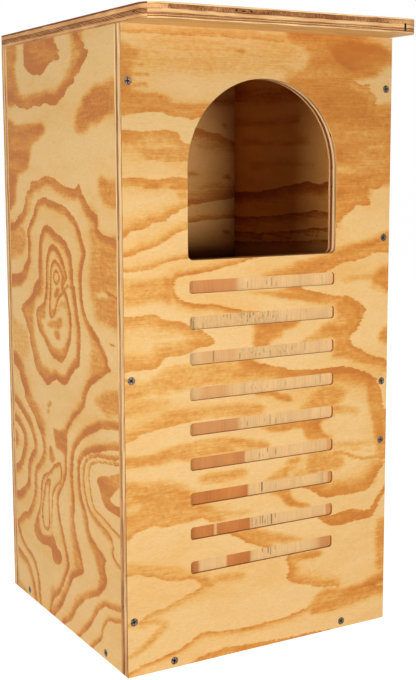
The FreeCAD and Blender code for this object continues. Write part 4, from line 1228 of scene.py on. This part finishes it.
grooveFloor = grooveFloorMaterial()
grooveWall = grooveWallMaterial()


# Which of a panel's materials a face takes; the last is for groove walls and the roof's side edges
outerFace, innerFace, edgeFace, sunkFace, ownFace = range(5)


def sortFaces(bm, axis, outward, level):
    for face in bm.faces:
        way = face.normal[axis] * outward
        if way > boardSettings["facing"]:
            onTop = abs(face.calc_center_median()[axis] - level) < 0.001
            face.material_index = outerFace if onTop else sunkFace
        elif way < -boardSettings["facing"]:
            face.material_index = innerFace
        else:
            face.material_index = edgeFace


def markGrooveWalls(bm, front):
    foot, top = grooveSettings["span"]
    for face in bm.faces:
        middle = face.calc_center_median()
        inGroove = abs(middle.x) < grooveSettings["halfReach"] and foot < middle.z < top
        shallow = middle.y < front + grooveSettings["wallDepth"]
        if face.material_index == edgeFace and inGroove and shallow:
            face.material_index = ownFace


def markRoofSides(bm):
    for face in bm.faces:
        if face.material_index == edgeFace and abs(face.normal.x) > boardSettings["facing"]:
            face.material_index = ownFace


def drawGrain(mesh, values, axis, level, drawn):
    places, chosen = [], []
    scale = boardSettings["waverScale"]
    fineScale, fineSize = boardSettings["fineWaver"]
    for vertex in mesh.vertices:
        if abs(vertex.co[axis] - level) < boardSettings["faceReach"]:
            x = drawn["start"] + drawn["sign"] * vertex.co[drawn["along"]] * 1000
            z = vertex.co.z * 1000
            shift = noise.noise_vector(Vector((x, z, 7.0)) / scale)
            fine = noise.noise_vector(Vector((x, z, 31.0)) / (fineScale * scale))
            x += boardSettings["waver"] * (shift.x + fineSize * fine.x)
            z += boardSettings["waver"] * (shift.y + fineSize * fine.y)
            places.append((x, z))
            chosen.append(vertex.index)
    values[chosen] = drawnField(np.array(places), drawn["strokes"], *drawn["bands"])


def drawGrooves(mesh, values, level):
    chosen = [v.index for v in mesh.vertices if abs(v.co.y - level) < 0.0002 and abs(v.co.x) < 0.09]
    places = [(mesh.vertices[i].co.x * 1000 + halfWidth, mesh.vertices[i].co.z * 1000) for i in chosen]
    values[chosen] = grooveField(np.array(places))


def makePanel(name, node, body, axis, outward, materials, outer=None, inner=None):
    bm = mergedCopy(node)
    low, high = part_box(node)
    level, innerLevel = (high[axis], low[axis]) if outward > 0 else (low[axis], high[axis])
    easeEdges(bm, boardSettings["easing"])
    bm.normal_update()
    sortFaces(bm, axis, outward, level)
    if node == "front_panel":
        markGrooveWalls(bm, low.y)
        floors = [f for f in bm.faces if f.material_index == sunkFace]
        floors = ruleFace(bm, floors, 2, grooveSettings["ruling"][1])
        ruleFace(bm, floors, 0, grooveSettings["ruling"][0])
    if node == "roof_panel":
        markRoofSides(bm)
    for index, drawn, spacing in ((innerFace, inner, "innerRuling"), (outerFace, outer, "ruling")):
        if drawn:
            faces = [f for f in bm.faces if f.material_index == index]
            faces = ruleFace(bm, faces, drawn["along"], boardSettings[spacing])
            ruleFace(bm, faces, 2, drawn.get("upRuling", boardSettings[spacing]))
    piece = finishPiece(name, bm, body, [node], materials)
    if outer or inner:
        mesh = piece.data
        values = np.tile(np.array([-strokeSettings["far"], 0.0, 0.0, 0.0]), (len(mesh.vertices), 1))
        if outer:
            drawGrain(mesh, values, axis, level, outer)
        if inner:
            drawGrain(mesh, values, axis, innerLevel, inner)
        if node == "front_panel":
            drawGrooves(mesh, values, level + grooveSettings["depth"] / 1000)
        figure = mesh.attributes.new("figure", "FLOAT_COLOR", "POINT")
        figure.data.foreach_set("color", values.astype(np.float32).ravel())
    print(name, len(piece.data.polygons), "faces")


# Band width factor, share of the band that holds its depth, weight of the band over its tail
fading = (1.25, 0.08, 0.66)
held = (1.7, 0.4, 0.8)
frontDrawn = {"along": 0, "start": halfWidth, "sign": 1, "strokes": frontFigure, "bands": fading}
leftDrawn = {"along": 1, "start": halfDepth, "sign": -1, "strokes": leftFigure, "bands": held}
leftDrawn["upRuling"] = 0.0017  # finer, for its close lines
backInnerDrawn = {"along": 0, "start": 0.0, "sign": 1, "strokes": backInnerFigure, "bands": fading}
rightInnerDrawn = {"along": 1, "start": 0.0, "sign": 1, "strokes": rightInnerFigure, "bands": fading}
frontMaterials = [frontVeneer, insideAcross, frontEdge, grooveFloor, grooveWall]
leftMaterials = [leftVeneer, insideAlong, leftEdge, leftEdge]
backMaterials = [backVeneer, backInner, backEdge, backEdge]
rightMaterials = [rightVeneer, rightInner, rightEdge, rightEdge]
makePanel("frontPanel", "front_panel", "box", 1, -1, frontMaterials, outer=frontDrawn)
makePanel("leftSide", "left_side_panel", "box", 0, -1, leftMaterials, outer=leftDrawn)
makePanel("backPanel", "back_panel", "box", 1, 1, backMaterials, inner=backInnerDrawn)
makePanel("rightSide", "right_side_panel", "box", 0, 1, rightMaterials, inner=rightInnerDrawn)
makePanel("cleanoutDoor", "cleanout_door", "door", 0, 1, [rightVeneer, insideAlong, rightEdge, rightEdge])
makePanel("roof", "roof_panel", "box", 2, 1, [roofVeneer, roofUnder, roofEdge, roofEdge, roofSideEdge])
makePanel("floorBoard", "floor_panel", "box", 2, -1, [insideFlat, roofVeneer, floorEdge, floorEdge])
print("panels made")


# Screws and catch
screwSettings = {"easing": 0.00012, "recessRadius": 0.0024, "recessDepth": (0.00008, 0.0018)}
catchSettings = {"easing": 0.00025}
steelTones = {
    "screw": (tone(140, 124, 108), tone(56, 46, 38)),
    "recess": (tone(36, 29, 24), tone(16, 13, 11)),
    # near black: painted shade inside the driver recess
    "catch": (tone(190, 190, 186), tone(140, 138, 132)),
}


def steelMaterial(name):
    material, tree, shader = newMaterial(name + "Steel")
    point = facePoint(tree, (0, 0, 0), (0, 0, 0))
    bright, dull = steelTones[name]
    skin = useGroup(tree, zincSkin, {"Point": point, "Bright": bright, "Dull": dull})
    dress(tree, shader, skin, 0.0001, 0.3)
    shader.inputs["Metallic"].default_value = 0.9
    return material


screwSteel = steelMaterial("screw")
recessShadeSteel = steelMaterial("recess")
catchSteel = steelMaterial("catch")


# Marks the faces of the driver recess, island by island: near the axis and below the head's top. They take
# the near-black steel, painted shade inside the recess
def markRecess(bm):
    bm.faces.ensure_lookup_table()
    left = set(bm.faces)
    while left:
        island, wave = set(), [left.pop()]
        while wave:
            face = wave.pop()
            island.add(face)
            near = {f for e in face.edges for f in e.link_faces} & left
            left -= near
            wave += near
        corners = [v.co for f in island for v in f.verts]
        low = [min(c[i] for c in corners) for i in range(3)]
        high = [max(c[i] for c in corners) for i in range(3)]
        axis = max(range(3), key=lambda i: high[i] - low[i])
        others = [i for i in range(3) if i != axis]
        middle = [(low[i] + high[i]) / 2 for i in range(3)]
        wide = max(corners, key=lambda c: sum((c[i] - middle[i]) ** 2 for i in others))
        top = high[axis] if high[axis] - wide[axis] < wide[axis] - low[axis] else low[axis]
        for face in island:
            centre = face.calc_center_median()
            off = math.hypot(*(centre[i] - middle[i] for i in others))
            shallow, deep = screwSettings["recessDepth"]
            if off < screwSettings["recessRadius"] and shallow < abs(centre[axis] - top) < deep:
                face.material_index = 1


screwNodes = [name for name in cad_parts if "screw" in name and not name.startswith("turn_button")]
for node in sorted(screwNodes):
    bm = mergedCopy(node)
    easeEdges(bm, screwSettings["easing"])
    bm.normal_update()
    markRecess(bm)
    finishPiece(node + "Dressed", bm, "box", [node], [screwSteel, recessShadeSteel])
for node, body in (("turn_button", "button"), ("turn_button_washer", "box"), ("turn_button_screw", "box")):
    bm = mergedCopy(node)
    easeEdges(bm, catchSettings["easing"])
    bm.normal_update()
    finishPiece(node + "Dressed", bm, body, [node], [catchSteel])
print("screws and catch made")


# White floor that keeps a soft shadow, white surround, plain soft light
stageSettings = {
    "floorSize": 14.0,
    "floorDrop": 0.0004,  # below the box
    "floorColor": (0.8, 0.8, 0.8, 1.0),  # as the object meets it
    "floorSeen": (0.42, 0.42, 0.42, 1.0),  # as the camera meets it, under its own glow
    "floorGlow": 0.94,
    "surround": 0.13,
}
lampSettings = [  # name, place, aim, width, height, power, colour
    ("frontSoftbox", (-0.10, -2.3, 0.4), (0, 0, 0.38), 0.5, 0.32, 22.7, (1.0, 0.98, 0.95)),
    ("sideSoftbox", (-2.19, -1.07, 0.4), (0, 0, 0.36), 0.95, 0.7, 35, (1.0, 0.98, 0.95)),
    ("backSoftbox", (2.3, 1.7, 1.7), (0, 0, 0.35), 1.4, 1.4, 38, (1.0, 0.99, 0.97)),
]


# Rays that show the stage as the camera does: straight, mirrored or through glass
def seenRays(tree):
    path = tree.nodes.new("ShaderNodeLightPath").outputs
    seen = calc(tree, "MAXIMUM", path["Is Camera Ray"], path["Is Glossy Ray"])
    return calc(tree, "MAXIMUM", seen, path["Is Transmission Ray"])


def makeStage():
    bm = bmesh.new()
    bmesh.ops.create_grid(bm, x_segments=1, y_segments=1, size=stageSettings["floorSize"])
    bmesh.ops.translate(bm, verts=bm.verts, vec=(0, 0, -stageSettings["floorDrop"]))
    mesh = bpy.data.meshes.new("studioFloor")
    bm.to_mesh(mesh)
    bm.free()
    material, tree, shader = newMaterial("studioFloor")
    seen = seenRays(tree)
    color = mixColor(tree, seen, stageSettings["floorColor"], stageSettings["floorSeen"])
    tree.links.new(color, shader.inputs["Base Color"])
    shader.inputs["Roughness"].default_value = 0.9
    shader.inputs["Specular IOR Level"].default_value = 0.0
    shader.inputs["Emission Color"].default_value = (1, 1, 1, 1)
    glow = calc(tree, "MULTIPLY", seen, stageSettings["floorGlow"])
    tree.links.new(glow, shader.inputs["Emission Strength"])
    mesh.materials.append(material)
    floor = bpy.data.objects.new("studioFloor", mesh)
    bpy.context.scene.collection.objects.link(floor)
    world = bpy.data.worlds.new("studioSurround")
    bpy.context.scene.world = world
    world.use_nodes = True
    tree = world.node_tree
    tree.nodes.clear()
    dim = stageSettings["surround"]
    strength = calc(tree, "MULTIPLY_ADD", seenRays(tree), 1 - dim, dim)
    back = addNode(tree, "ShaderNodeBackground", {"Color": (1, 1, 1, 1), "Strength": strength})
    out = tree.nodes.new("ShaderNodeOutputWorld")
    tree.links.new(back.outputs[0], out.inputs["Surface"])


def makeLamps():
    for name, place, aim, width, height, power, color in lampSettings:
        data = bpy.data.lights.new(name, "AREA")
        data.shape = "RECTANGLE"
        data.size = width
        data.size_y = height
        data.energy = power
        data.color = color
        lamp = bpy.data.objects.new(name, data)
        lamp.location = place
        lamp.rotation_euler = (Vector(aim) - Vector(place)).to_track_quat("-Z", "Y").to_euler()
        bpy.context.scene.collection.objects.link(lamp)


makeStage()
makeLamps()
bpy.context.scene.view_settings.view_transform = "Standard"
print("stage and lamps set")
